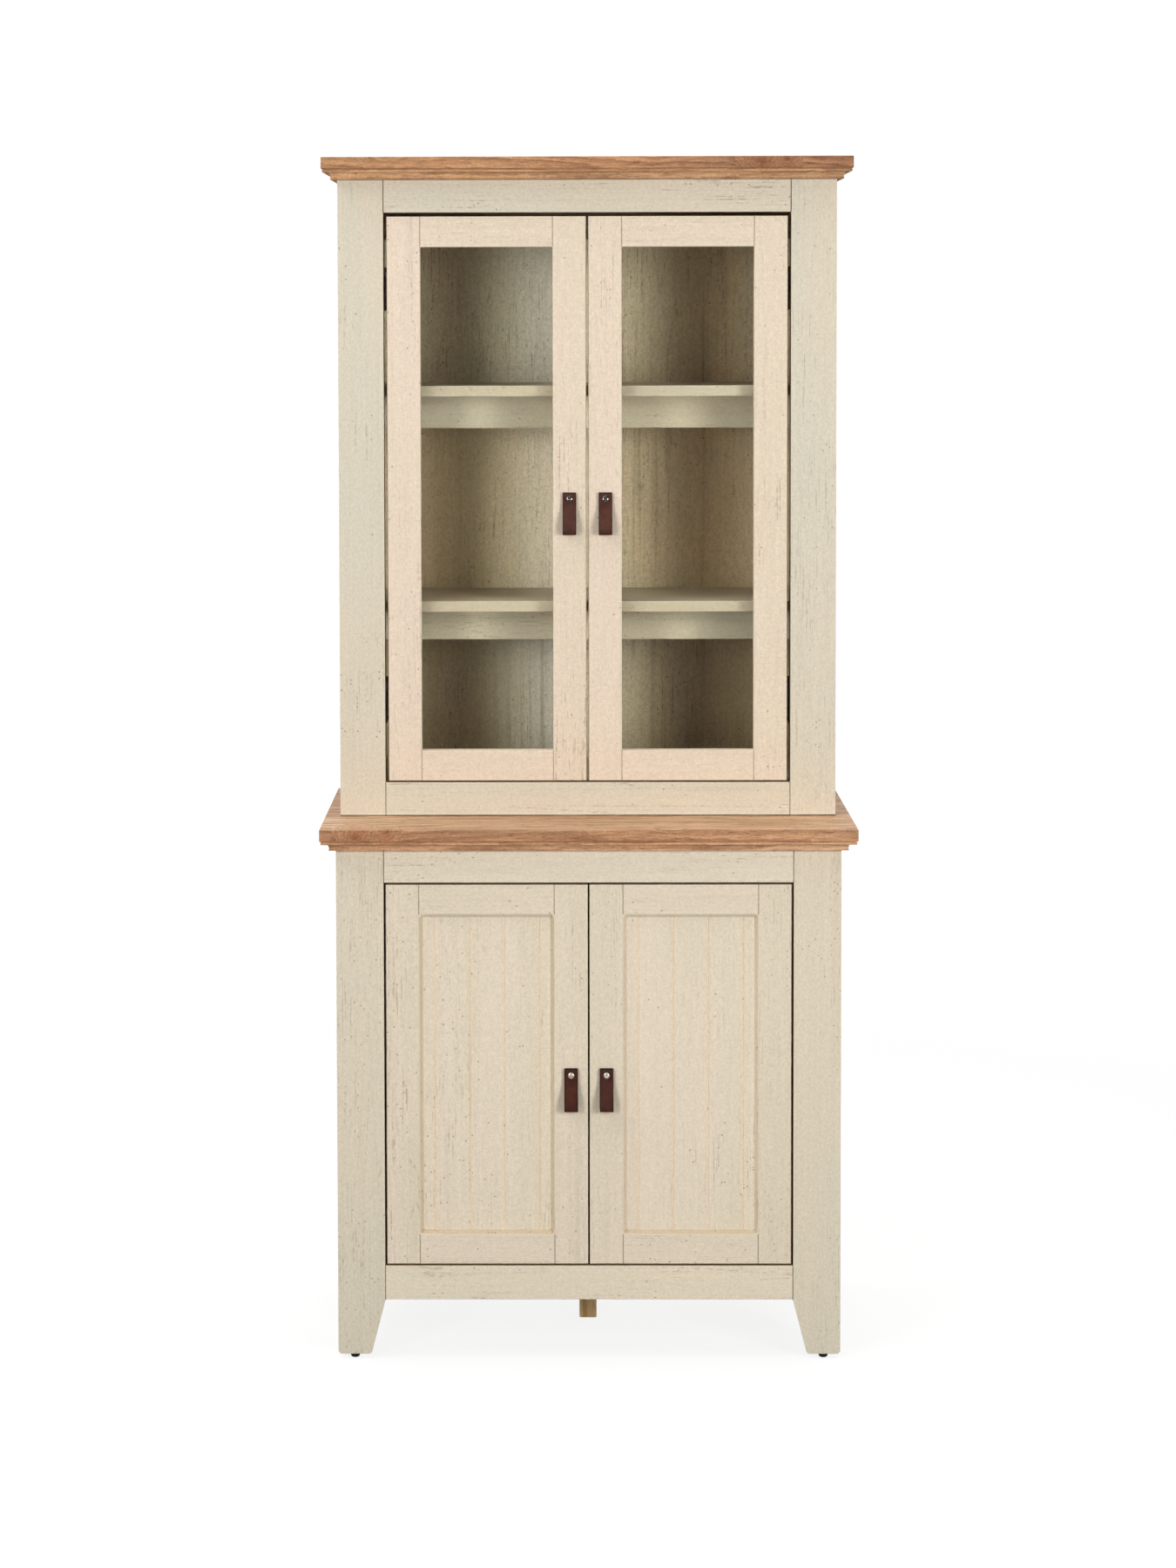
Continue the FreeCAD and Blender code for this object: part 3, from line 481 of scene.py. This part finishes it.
def pane(name):
    """Sheet glass, tinted a little grey as painted shade on the inside seen through it, with the faintest wiping marks;
    light passes on to what is behind.
    """
    t = Tree(name)
    p = t.tc.outputs["Object"]
    wipe = t.noise(t.vec("MULTIPLY", p, (1.0, 1.0, 0.35)), 9.0, 4.0, 0.62, 1.2)
    speck = t.cells(p, 130.0)
    dust = t.math("MULTIPLY", t.span(speck["Distance"], 0.10, 0.03), t.math("GREATER_THAN", t.xyz(speck["Color"])[0], 0.9))
    # painted shade: the grey tint darkens the inside seen through the pane; the wiping marks vary it
    col = t.mix(t.span(wipe, 0.35, 0.65), (0.910, 0.926, 0.914), (0.924, 0.936, 0.926))
    t.put(t.bsdf.inputs["Base Color"], col)
    t.bsdf.inputs["Transmission Weight"].default_value = 1.0
    t.bsdf.inputs["IOR"].default_value = 1.18
    r = t.math("ADD", t.span(wipe, 0.52, 0.75, 0.0, 0.035), t.math("MULTIPLY", dust, 0.12))
    t.put(t.bsdf.inputs["Roughness"], r)
    # lamps shine through it
    lp = t.nt.nodes.new("ShaderNodeLightPath")
    tr = t.nt.nodes.new("ShaderNodeBsdfTransparent")
    tr.inputs["Color"].default_value = (0.905, 0.915, 0.905, 1.0)
    mx = t.nt.nodes.new("ShaderNodeMixShader")
    t.nt.links.new(lp.outputs["Is Shadow Ray"], mx.inputs[0])
    t.nt.links.new(t.bsdf.outputs[0], mx.inputs[1])
    t.nt.links.new(tr.outputs[0], mx.inputs[2])
    t.nt.links.new(mx.outputs[0], t.out.inputs[0])
    return t.m


def plastic(name, colour, rough, seed):
    t = Tree(name)
    p = t.vec("ADD", t.tc.outputs["Object"], (seed, 0, 0))
    fine = t.noise(p, 1800.0, 2.0, 0.6)
    scuff = t.noise(p, 240.0, 3.0, 0.6)
    col = t.mix(t.span(scuff, 0.5, 0.75), colour, t.scaled(colour, 2.4))
    t.put(t.bsdf.inputs["Base Color"], col)
    t.put(t.bsdf.inputs["Roughness"], t.math("ADD", rough, t.span(scuff, 0.3, 0.7, -0.06, 0.12, False)))
    t.put(t.bsdf.inputs["Normal"], t.bump(fine, 0.00008, 0.5))
    t.bsdf.inputs["Specular IOR Level"].default_value = 0.4
    return t.m


# ================================================================ finishes
# INSIDE, SHELF and REAR are darker, browner copies of the cream for the inside of the cabinet: painted shade.
# CARCASS_RAIL is a lighter copy of CARCASS for the base rails and PANEL a lighter copy of BASEDR for the base panels:
# painted light.
UPPER = dict(base=lin(226, 218, 197), warm=lin(231, 218, 195), shade=lin(147, 126, 99))
CARCASS = dict(base=lin(234, 224, 201), warm=lin(239, 224, 199), shade=lin(150, 128, 100))
CARCASS_RAIL = dict(base=lin(243, 231, 207), warm=lin(248, 232, 206), shade=lin(154, 130, 101))
DISPLAY = dict(base=lin(240, 223, 198), warm=lin(244, 224, 202), shade=lin(164, 134, 104))
BASEDR = dict(base=lin(239, 225, 199), warm=lin(244, 228, 205), shade=lin(156, 130, 100))
PANEL = dict(base=lin(242, 228, 202), warm=lin(247, 231, 208), shade=lin(156, 130, 100))
INSIDE = dict(base=lin(201, 193, 167), warm=lin(206, 192, 163), shade=lin(118, 101, 75))
SHELF = dict(base=lin(178, 167, 143), warm=lin(183, 166, 139), shade=lin(106, 90, 65))
REAR = dict(base=lin(185, 176, 148), warm=lin(189, 174, 144), shade=lin(98, 84, 54))

WEAR = {}


def wear(nodes, mat):
    for n in nodes:
        WEAR[n] = mat


H = 0.00125
# the stile and rail joints are dark lines; the full-height lines at x 0.3028, 0.0019 and 0.3031 run along the door
# edges beside the gaps and are painted shade
JOINT_AND_GAP_LINES = {"upper": ((0.3077, 1.7208, 1.79, 0.85, H), (0.3077, 0.80, 0.8556, 0.60, H)),
          "base": ((0.3056, 0.721, 0.79, 0.62, H), (0.3056, 0.09, 0.1416, 0.62, H)),
          "display_door": ((0.2525, 1.670, 1.72, 0.50, H), (0.0521, 1.670, 1.72, 0.50, H),
                           (0.2525, 0.85, 0.9042, 0.45, H), (0.0521, 0.85, 0.9042, 0.45, H),
                           (0.3028, 0.85, 1.72, 0.60, 0.0009), (0.0019, 0.85, 1.72, 0.55, 0.0009)),
          "base_door": ((0.2534, 0.6735, 0.72, 0.50, H), (0.0513, 0.6735, 0.72, 0.50, H),
                        (0.2534, 0.14, 0.1891, 0.50, H), (0.0513, 0.14, 0.1891, 0.50, H),
                        (0.3031, 0.14, 0.72, 0.95, 0.0013))}
# painted shade where the upper unit stands on the worktop, under the crown moulding and the worktop moulding, and along
# the base doors' top and bottom edges beside the gaps; a painted highlight on the eased edge just above the worktop
SHADE_AND_HIGHLIGHT_LINES = {"upper": ((0.8042, 0.0024, 0.95, None), (0.8079, 0.0013, 0.40, lin(252, 238, 214)), (1.7704, 0.0014, 0.70, None)),
        "base": ((0.7700, 0.0030, 0.28, None),),
        "base_door": ((0.7182, 0.0009, 0.55, None), (0.1444, 0.0009, 0.72, None))}
# painted shade on the narrow faces in the gaps round the doors: (axis, from, to, tint)
GAP_SHADE_DIM, GAP_SHADE_DEEP = (0.58, 0.47, 0.36), (0.22, 0.14, 0.07)
GAP_SHADES = {"upper_post": (("X", 0.300, 0.3085, GAP_SHADE_DEEP),), "base_post": (("X", 0.300, 0.3062, GAP_SHADE_DEEP),),
         "upper_rail": (("Z", 0.854, 0.857, GAP_SHADE_DIM), ("Z", 1.719, 1.722, GAP_SHADE_DEEP)),
         "base_rail": (("Z", 0.140, 0.143, GAP_SHADE_DIM), ("Z", 0.720, 0.722, GAP_SHADE_DIM)),
         "door": (("X", 0.3020, 0.3040, (0.74, 0.67, 0.59)), ("X", -1.0, 0.0022, (0.84, 0.80, 0.75))),
         "base_door": (("X", 0.3020, 0.3040, (0.74, 0.67, 0.59)), ("X", -1.0, 0.0022, (0.90, 0.86, 0.80)),
                       ("Z", 0.716, 0.720, (0.72, 0.62, 0.51)), ("Z", 0.140, 0.146, (0.72, 0.62, 0.51)))}
LIT = dict(edge=0.85, highlight_tint=(1.0, 0.94, 0.82))

for part, palette in (("base", CARCASS), ("upper", UPPER)):
    for k, sd in (("left", 1.0), ("right", 2.0)):
        wear(["%s_post_%s" % (part, k)],
             cream("cream_%s_post_%s" % (part, k), "Z", seed=sd, lines=0.75, specks=1.1 if part == "upper" and sd < 1.5 else 0.8,
                   joints=JOINT_AND_GAP_LINES[part], shade_and_highlight_lines=SHADE_AND_HIGHLIGHT_LINES[part], gap_shades=GAP_SHADES[part + "_post"], **LIT, **palette))
        wear(["%s_side_%s" % (part, k)],
             cream("cream_%s_side_%s" % (part, k), "Z", seed=sd + 2.0, lines=1.0, inner=1 if sd < 1.5 else -1,
                   inner_shade_tint=(0.60, 0.49, 0.38) if sd < 1.5 else (0.67, 0.53, 0.40), **palette))
wear(["base_top_rail", "base_apron"],
     cream("cream_base_carcass_rails", "X", seed=5.0, lines=1.25, specks=0.9,
           joints=JOINT_AND_GAP_LINES["base"], shade_and_highlight_lines=SHADE_AND_HIGHLIGHT_LINES["base"], gap_shades=GAP_SHADES["base_rail"], **LIT, **CARCASS_RAIL))
wear(["upper_top_rail", "upper_bottom_rail"],
     cream("cream_upper_carcass_rails", "X", seed=5.5, lines=1.2, specks=1.0,
           joints=JOINT_AND_GAP_LINES["upper"], shade_and_highlight_lines=SHADE_AND_HIGHLIGHT_LINES["upper"], gap_shades=GAP_SHADES["upper_rail"], **LIT, **UPPER))
wear(["display_door_left_stiles"], cream("cream_display_stiles_left", "Z", seed=6.0, lines=0.95,
                                                 joints=JOINT_AND_GAP_LINES["display_door"], gap_shades=GAP_SHADES["door"], **DISPLAY))
wear(["display_door_right_stiles"], cream("cream_display_stiles_right", "Z", seed=7.0, lines=0.95,
                                                  joints=JOINT_AND_GAP_LINES["display_door"], gap_shades=GAP_SHADES["door"], **DISPLAY))
wear(["display_door_left_rails", "display_door_right_rails"],
     cream("cream_display_rails", "X", seed=8.0, lines=0.6, specks=0.7, joints=JOINT_AND_GAP_LINES["display_door"], gap_shades=GAP_SHADES["door"], **DISPLAY))
wear(["display_door_left_beads", "display_door_right_beads"],
     cream("cream_display_beads", "Z", seed=9.0, lines=0.3, specks=0.6, **DISPLAY))
wear(["base_door_left_stiles"], cream("cream_base_stiles_left", "Z", seed=10.0, lines=1.1, joints=JOINT_AND_GAP_LINES["base_door"],
                                              shade_and_highlight_lines=SHADE_AND_HIGHLIGHT_LINES["base_door"], gap_shades=GAP_SHADES["base_door"], **BASEDR))
wear(["base_door_right_stiles"], cream("cream_base_stiles_right", "Z", seed=11.0, lines=0.6, specks=0.7, joints=JOINT_AND_GAP_LINES["base_door"],
                                               shade_and_highlight_lines=SHADE_AND_HIGHLIGHT_LINES["base_door"], gap_shades=GAP_SHADES["base_door"], **BASEDR))
wear(["base_door_left_rails", "base_door_right_rails"],
     cream("cream_base_rails", "X", seed=12.0, lines=0.5, specks=0.9, joints=JOINT_AND_GAP_LINES["base_door"], shade_and_highlight_lines=SHADE_AND_HIGHLIGHT_LINES["base_door"],
           gap_shades=GAP_SHADES["base_door"], **BASEDR))
wear(["base_door_left_panel"], cream("cream_base_panel_left", "Z", seed=13.0, lines=0.9, specks=1.0, smudge=0.25, edge=0.0,
                                              bevel_light_and_shade=(0.86, 0.83, 0.74), **PANEL))
wear(["base_door_right_panel"], cream("cream_base_panel_right", "Z", seed=14.0, lines=1.0, specks=1.1, smudge=0.25, edge=0.0,
                                               bevel_light_and_shade=(0.92, 0.88, 0.86), **PANEL))
wear(["upper_back_panel"], cream("cream_back_display", "Z", seed=15.0, lines=1.5, smudge=1.3, specks=1.2, back=True, contrast=2.2,
                                        painted_light_bands=(0.70, 0.63, 0.52), **REAR))
wear(["base_back_panel"], cream("cream_back_base", "Z", seed=16.0, lines=1.0, smudge=1.4, back=True, **REAR))
wear(["display_shelves", "base_shelf", "upper_floor_panel", "upper_top_panel", "base_floor_panel"],
     cream("cream_boards", "X", seed=17.0, lines=0.8, smudge=0.8, **SHELF))
wear(["shelf_rails"], cream("cream_inner_rails", "X", seed=18.0, lines=0.8, smudge=0.8, **INSIDE))
wear(["hanging_rail"], raw_wood("raw_rail", "X", lin(118, 97, 73), lin(98, 79, 58), 4.0))
wear(["worktop"], oak("oak_worktop", 1.0, tone=(1.04, 1.04, 1.04), top=(1.00, 1.16, 1.27),
                      knots=((-0.345, -0.2, 0.795, 0.012), (-0.300, -0.2, 0.800, 0.008)),
                      ends=((1.0, 1.0, 1.0), (1.03, 1.03, 1.03), (1.12, 1.13, 1.14))))
wear(["crown_board"], oak("oak_crown", 2.0, knots=((0.262, -0.096, 1.796, 0.014), (0.300, -0.096, 1.799, 0.008)),
                          ends=((1.11, 1.20, 1.14), (1.01, 0.97, 0.92), (0.80, 0.75, 0.71))))
# painted light: the mouldings' colour is raised far above the boards', standing in for light they lack in the boards'
# shade
wear(["worktop_moulding"], oak("oak_worktop_moulding", 3.0, True, tone=(1.35, 1.46, 1.54)))
wear(["crown_moulding"], oak("oak_crown_moulding", 4.0, True, tone=(1.37, 1.65, 1.78), ends=((1.08, 1.08, 1.08), (1.0, 1.0, 1.0), (0.92, 0.92, 0.92))))
# painted light: the leg's wood colour is raised far above its own, standing in for light it lacks under the unit
wear(["centre_leg"], raw_wood("leg_wood_painted_light", "Z", lin(255, 218, 160), lin(220, 174, 116), 1.0))
# painted shade: the packing blocks are near black, standing in for the shade behind the door gaps
wear(["hinge_blocks"], raw_wood("hinge_blocks_painted_shade", "Z", lin(62, 48, 38), lin(44, 33, 25), 2.0))
wear(["joining_dowels"], raw_wood("raw_dowels", "Z", lin(216, 186, 140), lin(190, 154, 106), 3.0))
wear(["glides"], plastic("glide_nylon", lin(24, 22, 20), 0.46, 1.0))
HINGE = metal("hinge_plate", (0.60, 0.59, 0.57), 0.30, 1.0, "Z", 0.25)
wear(["hinge_arms"] + ["%s_door_%s_hinge_%s" % (u, k, w) for u in ("display", "base")
                       for k in ("left", "right") for w in ("cups", "links")], HINGE)
wear(["display_door_left_glass", "display_door_right_glass"], pane("clear_glass"))
HEAD_UP = metal("screw_dark_polish", (0.26, 0.22, 0.20), 0.18, 2.0, None, 0.25)
HEAD_LOW = metal("screw_bright", (0.86, 0.78, 0.70), 0.34, 3.0, None, 0.12)

for node, mat in WEAR.items():
    o = NODES[node]
    o.data.materials.clear()
    o.data.materials.append(mat)
    for f in o.data.polygons:
        f.material_index = 0


# ================================================================ pieces made here
def mesh_object(name, bm, mat, body, smooth=True):
    me = bpy.data.meshes.new(name)
    bmesh.ops.recalc_face_normals(bm, faces=bm.faces)
    bm.to_mesh(me)
    bm.free()
    o = bpy.data.objects.new(name, me)
    bpy.context.scene.collection.objects.link(o)
    me.materials.append(mat)
    if smooth:
        for f in me.polygons:
            f.use_smooth = True
    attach(o, body)
    return o


def strap_line():
    """Middle line of the folded strip: (out from the door, below the top), from the end
    that lies on the door, round the fold, to the end under the screw head."""
    r = 6.2 * MM
    back = STRAP_T / 2 + 0.05 * MM
    front = back + STRAP_T + 0.1 * MM
    zc = -(STRAP_H - r - STRAP_T / 2)
    pts = []
    for k in range(0, 13):
        pts.append((back, -0.4 * MM + (zc + 0.4 * MM) * k / 12.0))
    for k in range(1, 16):
        a = math.radians(180 + k * 11.25)
        pts.append((back + r + r * math.cos(a), zc + r * math.sin(a)))
    big = back + 2 * r
    n = 22
    for k in range(0, n + 1):
        t = k / n
        s = t * t * (3 - 2 * t)
        pts.append((big + (front - big) * s, zc + (-17.0 * MM - zc) * t))
    for k in range(1, 6):
        pts.append((front, -17.0 * MM + 16.6 * MM * k / 5.0))
    return pts


def strap(name, cx, face, top, mat, body, node, phase):
    line = strap_line()
    half_w, half_t = STRAP_W / 2 - 0.05 * MM, STRAP_T / 2 - 0.03 * MM
    # section: rounded rectangle, (across, thick, u)
    sec = []
    rr = 0.75 * MM
    steps = 4
    for sx, sy, a0 in ((1, 1, 0), (-1, 1, 90), (-1, -1, 180), (1, -1, 270)):
        for k in range(steps + 1):
            a = math.radians(a0 + 90.0 * k / steps)
            sec.append((sx * (half_w - rr) + rr * math.cos(a), sy * (half_t - rr) + rr * math.sin(a)))
        if (sx, sy) in ((1, 1), (-1, -1)):
            for k in range(1, 12):
                f = k / 12.0
                x = sx * (half_w - rr) * (1 - 2 * f)
                # the wide faces sink slightly along a creased line near each edge
                sink = 0.10 * MM * math.exp(-((abs(x) - 7.7 * MM) / (0.6 * MM)) ** 2)
                sec.append((x, sy * (half_t - sink)))
    bm = bmesh.new()
    uvl = bm.loops.layers.uv.new("UVMap")
    rings, us = [], [0.5 + p[0] / (2 * half_w) for p in sec]
    total = len(line)
    for i, (o, z) in enumerate(line):
        a, b = line[max(i - 1, 0)], line[min(i + 1, total - 1)]
        d = Vector((b[0] - a[0], b[1] - a[1])).normalized()
        n = Vector((-d[1], d[0]))
        # the ends are cut with slightly rounded corners and thinned rims
        e = min(i, total - 1 - i)
        w = 1.0 - (0.030 if e == 0 else 0.008 if e == 1 else 0.0)
        th = 1.0 - (0.35 if e == 0 else 0.0)
        ripple = 0.12 * MM * math.sin(i * 0.55 + phase) * (1 if 6 < i < total - 8 else 0)
        ring = []
        for x, y in sec:
            yy = y * th
            ring.append(bm.verts.new((cx + x * w + ripple * 0.4 * (x / half_w),
                                      face - (o + n[0] * yy), top + z + n[1] * yy)))
        rings.append(ring)
    m = len(sec)
    for i in range(total - 1):
        for k in range(m):
            k2 = (k + 1) % m
            f = bm.faces.new((rings[i][k], rings[i][k2], rings[i + 1][k2], rings[i + 1][k]))
            for lp, (u, v) in zip(f.loops, ((us[k], i), (us[k2], i), (us[k2], i + 1), (us[k], i + 1))):
                lp[uvl].uv = (u, v / (total - 1))
    for i, flip in ((0, True), (total - 1, False)):
        ring = rings[i][::-1] if flip else rings[i]
        f = bm.faces.new(ring)
        for lp in f.loops:
            lp[uvl].uv = (0.5 + (lp.vert.co.x - cx) / (2 * half_w), 0.0 if flip else 1.0)
    o = mesh_object(name, bm, mat, body)
    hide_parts(node)
    return o


def screw(name, cx, face, top, r, mat, body, node, turn, recess):
    """Pan-head screw with a cross recess, with its shank into the stile."""
    z0 = top - SCREW_DROP
    o0 = 0.05 * MM + 2 * STRAP_T + 0.1 * MM + 0.05 * MM
    tall = 2.75 * MM
    seg, rad = 96, 30
    bm = bmesh.new()

    def height(q):
        """Dome height at q, 0 in the middle to 1 at the rim."""
        if q > 0.93:
            return 0.7 * MM * math.sqrt(max(0.0, 1 - ((q - 0.93) / 0.07) ** 2)) + 0.0
        s = q / 0.93
        return 0.7 * MM + (tall - 0.7 * MM) * math.sqrt(max(0.0, 1 - s * s)) ** 0.85

    def cut(x, y):
        """Depth of the cross at x, y."""
        c, s = math.cos(turn), math.sin(turn)
        u, v = abs(x * c + y * s), abs(-x * s + y * c)
        length, half = 0.56 * r, 0.115 * r
        best = 0.0
        for a, b in ((u, v), (v, u)):
            da, db = a - length, b - half - 0.06 * r * max(0.0, 1 - a / length)
            d = max(da, db)
            if d < 0:
                best = max(best, min(1.0, -d / (0.10 * r)))
        core = max(0.0, 1 - math.hypot(x, y) / (0.30 * r))
        return recess * (best * 0.8 + (0.5 * core if best > 0 else 0.0))

    rings = []
    for i in range(1, rad + 1):
        q = i / rad
        q = q ** 0.9
        ring = []
        for k in range(seg):
            a = 2 * math.pi * k / seg
            x, y = r * q * math.cos(a), r * q * math.sin(a)
            h = height(q) - cut(x, y)
            if i == rad:
                h = 0.0
            ring.append(bm.verts.new((cx + x, face - o0 - h, z0 + y)))
        rings.append(ring)
    mid = bm.verts.new((cx, face - o0 - height(0) + cut(0, 0), z0))
    # shank and its blunt point
    for rr, d in ((2.0 * MM, 0.0), (2.0 * MM, o0 + 12.2 * MM), (0.9 * MM, o0 + 13.9 * MM)):
        ring = []
        for k in range(seg):
            a = 2 * math.pi * k / seg
            ring.append(bm.verts.new((cx + rr * math.cos(a), face - o0 + d, z0 + rr * math.sin(a))))
        rings.append(ring)
    for k in range(seg):
        k2 = (k + 1) % seg
        bm.faces.new((mid, rings[0][k], rings[0][k2]))
        for i in range(len(rings) - 1):
            bm.faces.new((rings[i][k], rings[i + 1][k], rings[i + 1][k2], rings[i][k2]))
    bm.faces.new(rings[-1][::-1])
    o = mesh_object(name, bm, mat, body)
    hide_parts(node)
    return o


# painted light and shade: lit and shaded copies of one leather, the upper straps lighter and the lower straps darker
LEATHER = {"display": [leather("leather_display_%d" % i, float(i), tone)
                       for i, tone in ((1, (1.06, 1.16, 1.20)), (2, (1.11, 1.16, 1.12)))],
           "base": [leather("leather_base_%d" % i, float(i) + 4.0, tone)
                    for i, tone in ((1, (0.82, 0.66, 0.60)), (2, (0.90, 0.86, 0.84)))]}
for u, face, ax, top, hr, hm, rec in (("display", FRONT_DISPLAY, 0.0273, 1.298, 5.5 * MM, HEAD_UP, 1.5 * MM),
                                      ("base", FRONT_BASE, 0.0265, 0.4417, 5.0 * MM, HEAD_LOW, 0.7 * MM)):
    for k, sx in (("left", -1), ("right", 1)):
        body = "door_%s_%s" % (u, k)
        strap("%s_strap_%s" % (u, k), sx * ax, face, top, LEATHER[u][0 if sx < 0 else 1], body,
              "%s_door_%s_strap" % (u, k), 0.7 * sx + (1.3 if u == "base" else 0))
        screw("%s_strap_screw_%s" % (u, k), sx * ax, face, top, hr, hm, body,
              "%s_door_%s_screw" % (u, k), 0.5 + 0.6 * sx, rec)


# ================================================================ studio
def floor():
    """Pale floor: it takes the unit's faint shadow near by and is plain white far off."""
    bm = bmesh.new()
    n, rings = 64, [0.0, 0.6, 1.2, 2.0, 3.2, 5.0, 9.0, 40.0]
    prev = None
    c = bm.verts.new((0, 0, 0))
    for r in rings[1:]:
        ring = [bm.verts.new((r * math.cos(2 * math.pi * k / n), r * math.sin(2 * math.pi * k / n), 0)) for k in range(n)]
        for k in range(n):
            k2 = (k + 1) % n
            bm.faces.new((c, ring[k], ring[k2]) if prev is None else (prev[k], ring[k], ring[k2], prev[k2]))
        prev = ring
    me = bpy.data.meshes.new("studio_floor")
    bm.to_mesh(me)
    bm.free()
    o = bpy.data.objects.new("studio_floor", me)
    bpy.context.scene.collection.objects.link(o)
    t = Tree("studio_floor")
    p = t.tc.outputs["Object"]
    d = t.vec("LENGTH", p)
    far = t.span(d, 1.4, 3.2)
    t.bsdf.inputs["Roughness"].default_value = 0.8
    t.bsdf.inputs["Specular IOR Level"].default_value = 0.1
    t.put(t.bsdf.inputs["Base Color"], t.mix(far, (0.16, 0.16, 0.16), (0.0, 0.0, 0.0)))
    t.bsdf.inputs["Emission Color"].default_value = (1, 1, 1, 1)
    lp = t.nt.nodes.new("ShaderNodeLightPath")
    through = t.math("MULTIPLY", lp.outputs["Is Transmission Ray"], t.math("LESS_THAN", lp.outputs["Diffuse Depth"], 0.5))
    plain = t.math("MAXIMUM", lp.outputs["Is Camera Ray"], through)
    t.put(t.bsdf.inputs["Emission Strength"],
          t.math("MULTIPLY", t.span(far, 0.0, 1.0, 0.85, 1.02), t.span(plain, 0.0, 1.0, 0.14, 1.0)))
    me.materials.append(t.m)


floor()


def area(name, loc, aim, size, power, colour=(1, 1, 1), size_y=None):
    d = bpy.data.lights.new(name, "AREA")
    d.shape = "RECTANGLE"
    d.size, d.size_y = size, size_y or size
    d.energy = power
    d.color = colour
    o = bpy.data.objects.new(name, d)
    o.location = loc
    o.rotation_euler = (Vector(aim) - Vector(loc)).to_track_quat("-Z", "Y").to_euler()
    bpy.context.scene.collection.objects.link(o)
    return o


def round_unit(az, el, dist=3.6):
    """A place at az degrees from the front (right is +) and el up, about the unit's middle."""
    a, e = math.radians(az), math.radians(el)
    return (math.sin(a) * math.cos(e) * dist, -0.1 - math.cos(a) * math.cos(e) * dist, 1.0 + math.sin(e) * dist)


area("softbox_left", round_unit(-35, 8), (0, -0.1, 1.0), 0.8, 42, (1, 1, 1), 1.5)
area("softbox_right", round_unit(38.5, 9), (0, -0.1, 1.0), 1.1, 42, (1, 1, 1), 1.5)
area("strip_right", round_unit(43, 9), (0, -0.1, 1.0), 0.3, 24.5, (1, 1, 1), 1.5)
area("high_left", round_unit(-65, 45), (0, -0.1, 1.0), 1.3, 46.5)
area("top_bank", (0.0, -0.2, 4.6), (0, -0.1, 1.0), 1.6, 69)

w = bpy.data.worlds.new("studio")
bpy.context.scene.world = w
w.use_nodes = True
nt = w.node_tree
nt.nodes.clear()
wo = nt.nodes.new("ShaderNodeOutputWorld")
seen = nt.nodes.new("ShaderNodeBackground")
seen.inputs[0].default_value = (1, 1, 1, 1)
seen.inputs[1].default_value = 1.02
fill = nt.nodes.new("ShaderNodeBackground")
tcw = nt.nodes.new("ShaderNodeTexCoord")
sepw = nt.nodes.new("ShaderNodeSeparateXYZ")
nt.links.new(tcw.outputs["Generated"], sepw.inputs[0])
rampw = nt.nodes.new("ShaderNodeMapRange")
rampw.interpolation_type = "SMOOTHSTEP"
rampw.inputs["From Min"].default_value = -0.3
rampw.inputs["From Max"].default_value = 0.3
rampw.inputs["To Min"].default_value = 0.0
rampw.inputs["To Max"].default_value = 0.89
nt.links.new(sepw.outputs[1], rampw.inputs["Value"])
fill.inputs[0].default_value = (1.0, 1.0, 1.0, 1)
nt.links.new(rampw.outputs["Result"], fill.inputs[1])
lpw = nt.nodes.new("ShaderNodeLightPath")
mxw = nt.nodes.new("ShaderNodeMixShader")
fresh = nt.nodes.new("ShaderNodeMath")
fresh.operation = "LESS_THAN"
nt.links.new(lpw.outputs["Diffuse Depth"], fresh.inputs[0])
fresh.inputs[1].default_value = 0.5
through = nt.nodes.new("ShaderNodeMath")
through.operation = "MULTIPLY"
nt.links.new(lpw.outputs["Is Transmission Ray"], through.inputs[0])
nt.links.new(fresh.outputs[0], through.inputs[1])
plain = nt.nodes.new("ShaderNodeMath")
plain.operation = "MAXIMUM"
nt.links.new(lpw.outputs["Is Camera Ray"], plain.inputs[0])
nt.links.new(through.outputs[0], plain.inputs[1])
nt.links.new(plain.outputs[0], mxw.inputs[0])
nt.links.new(fill.outputs[0], mxw.inputs[1])
nt.links.new(seen.outputs[0], mxw.inputs[2])
nt.links.new(mxw.outputs[0], wo.inputs[0])

# ================================================================ camera
cam_data = bpy.data.cameras.new("photo_camera")
cam = bpy.data.objects.new("photo_camera", cam_data)
bpy.context.scene.collection.objects.link(cam)
right = Vector((0.9999683, 0.0076310, -0.0022608))
up = Vector((0.0018671, 0.0512046, 0.9986864))
back = right.cross(up)
cam.matrix_world = Matrix.Translation((-0.04356, -4.69705, 1.57168)) @ Matrix((right, up, back)).transposed().to_4x4()
cam_data.sensor_fit = "AUTO"
cam_data.sensor_width = 36.0
cam_data.lens = 70.1677
cam_data.shift_x = 0.03385
cam_data.shift_y = -0.20149
cam_data.clip_start, cam_data.clip_end = 0.05, 100.0
bpy.context.scene.camera = cam

sc = bpy.context.scene
sc.view_settings.view_transform = "Standard"
sc.view_settings.look = "None"
sc.view_settings.exposure = 0.0
sc.view_settings.gamma = 1.0
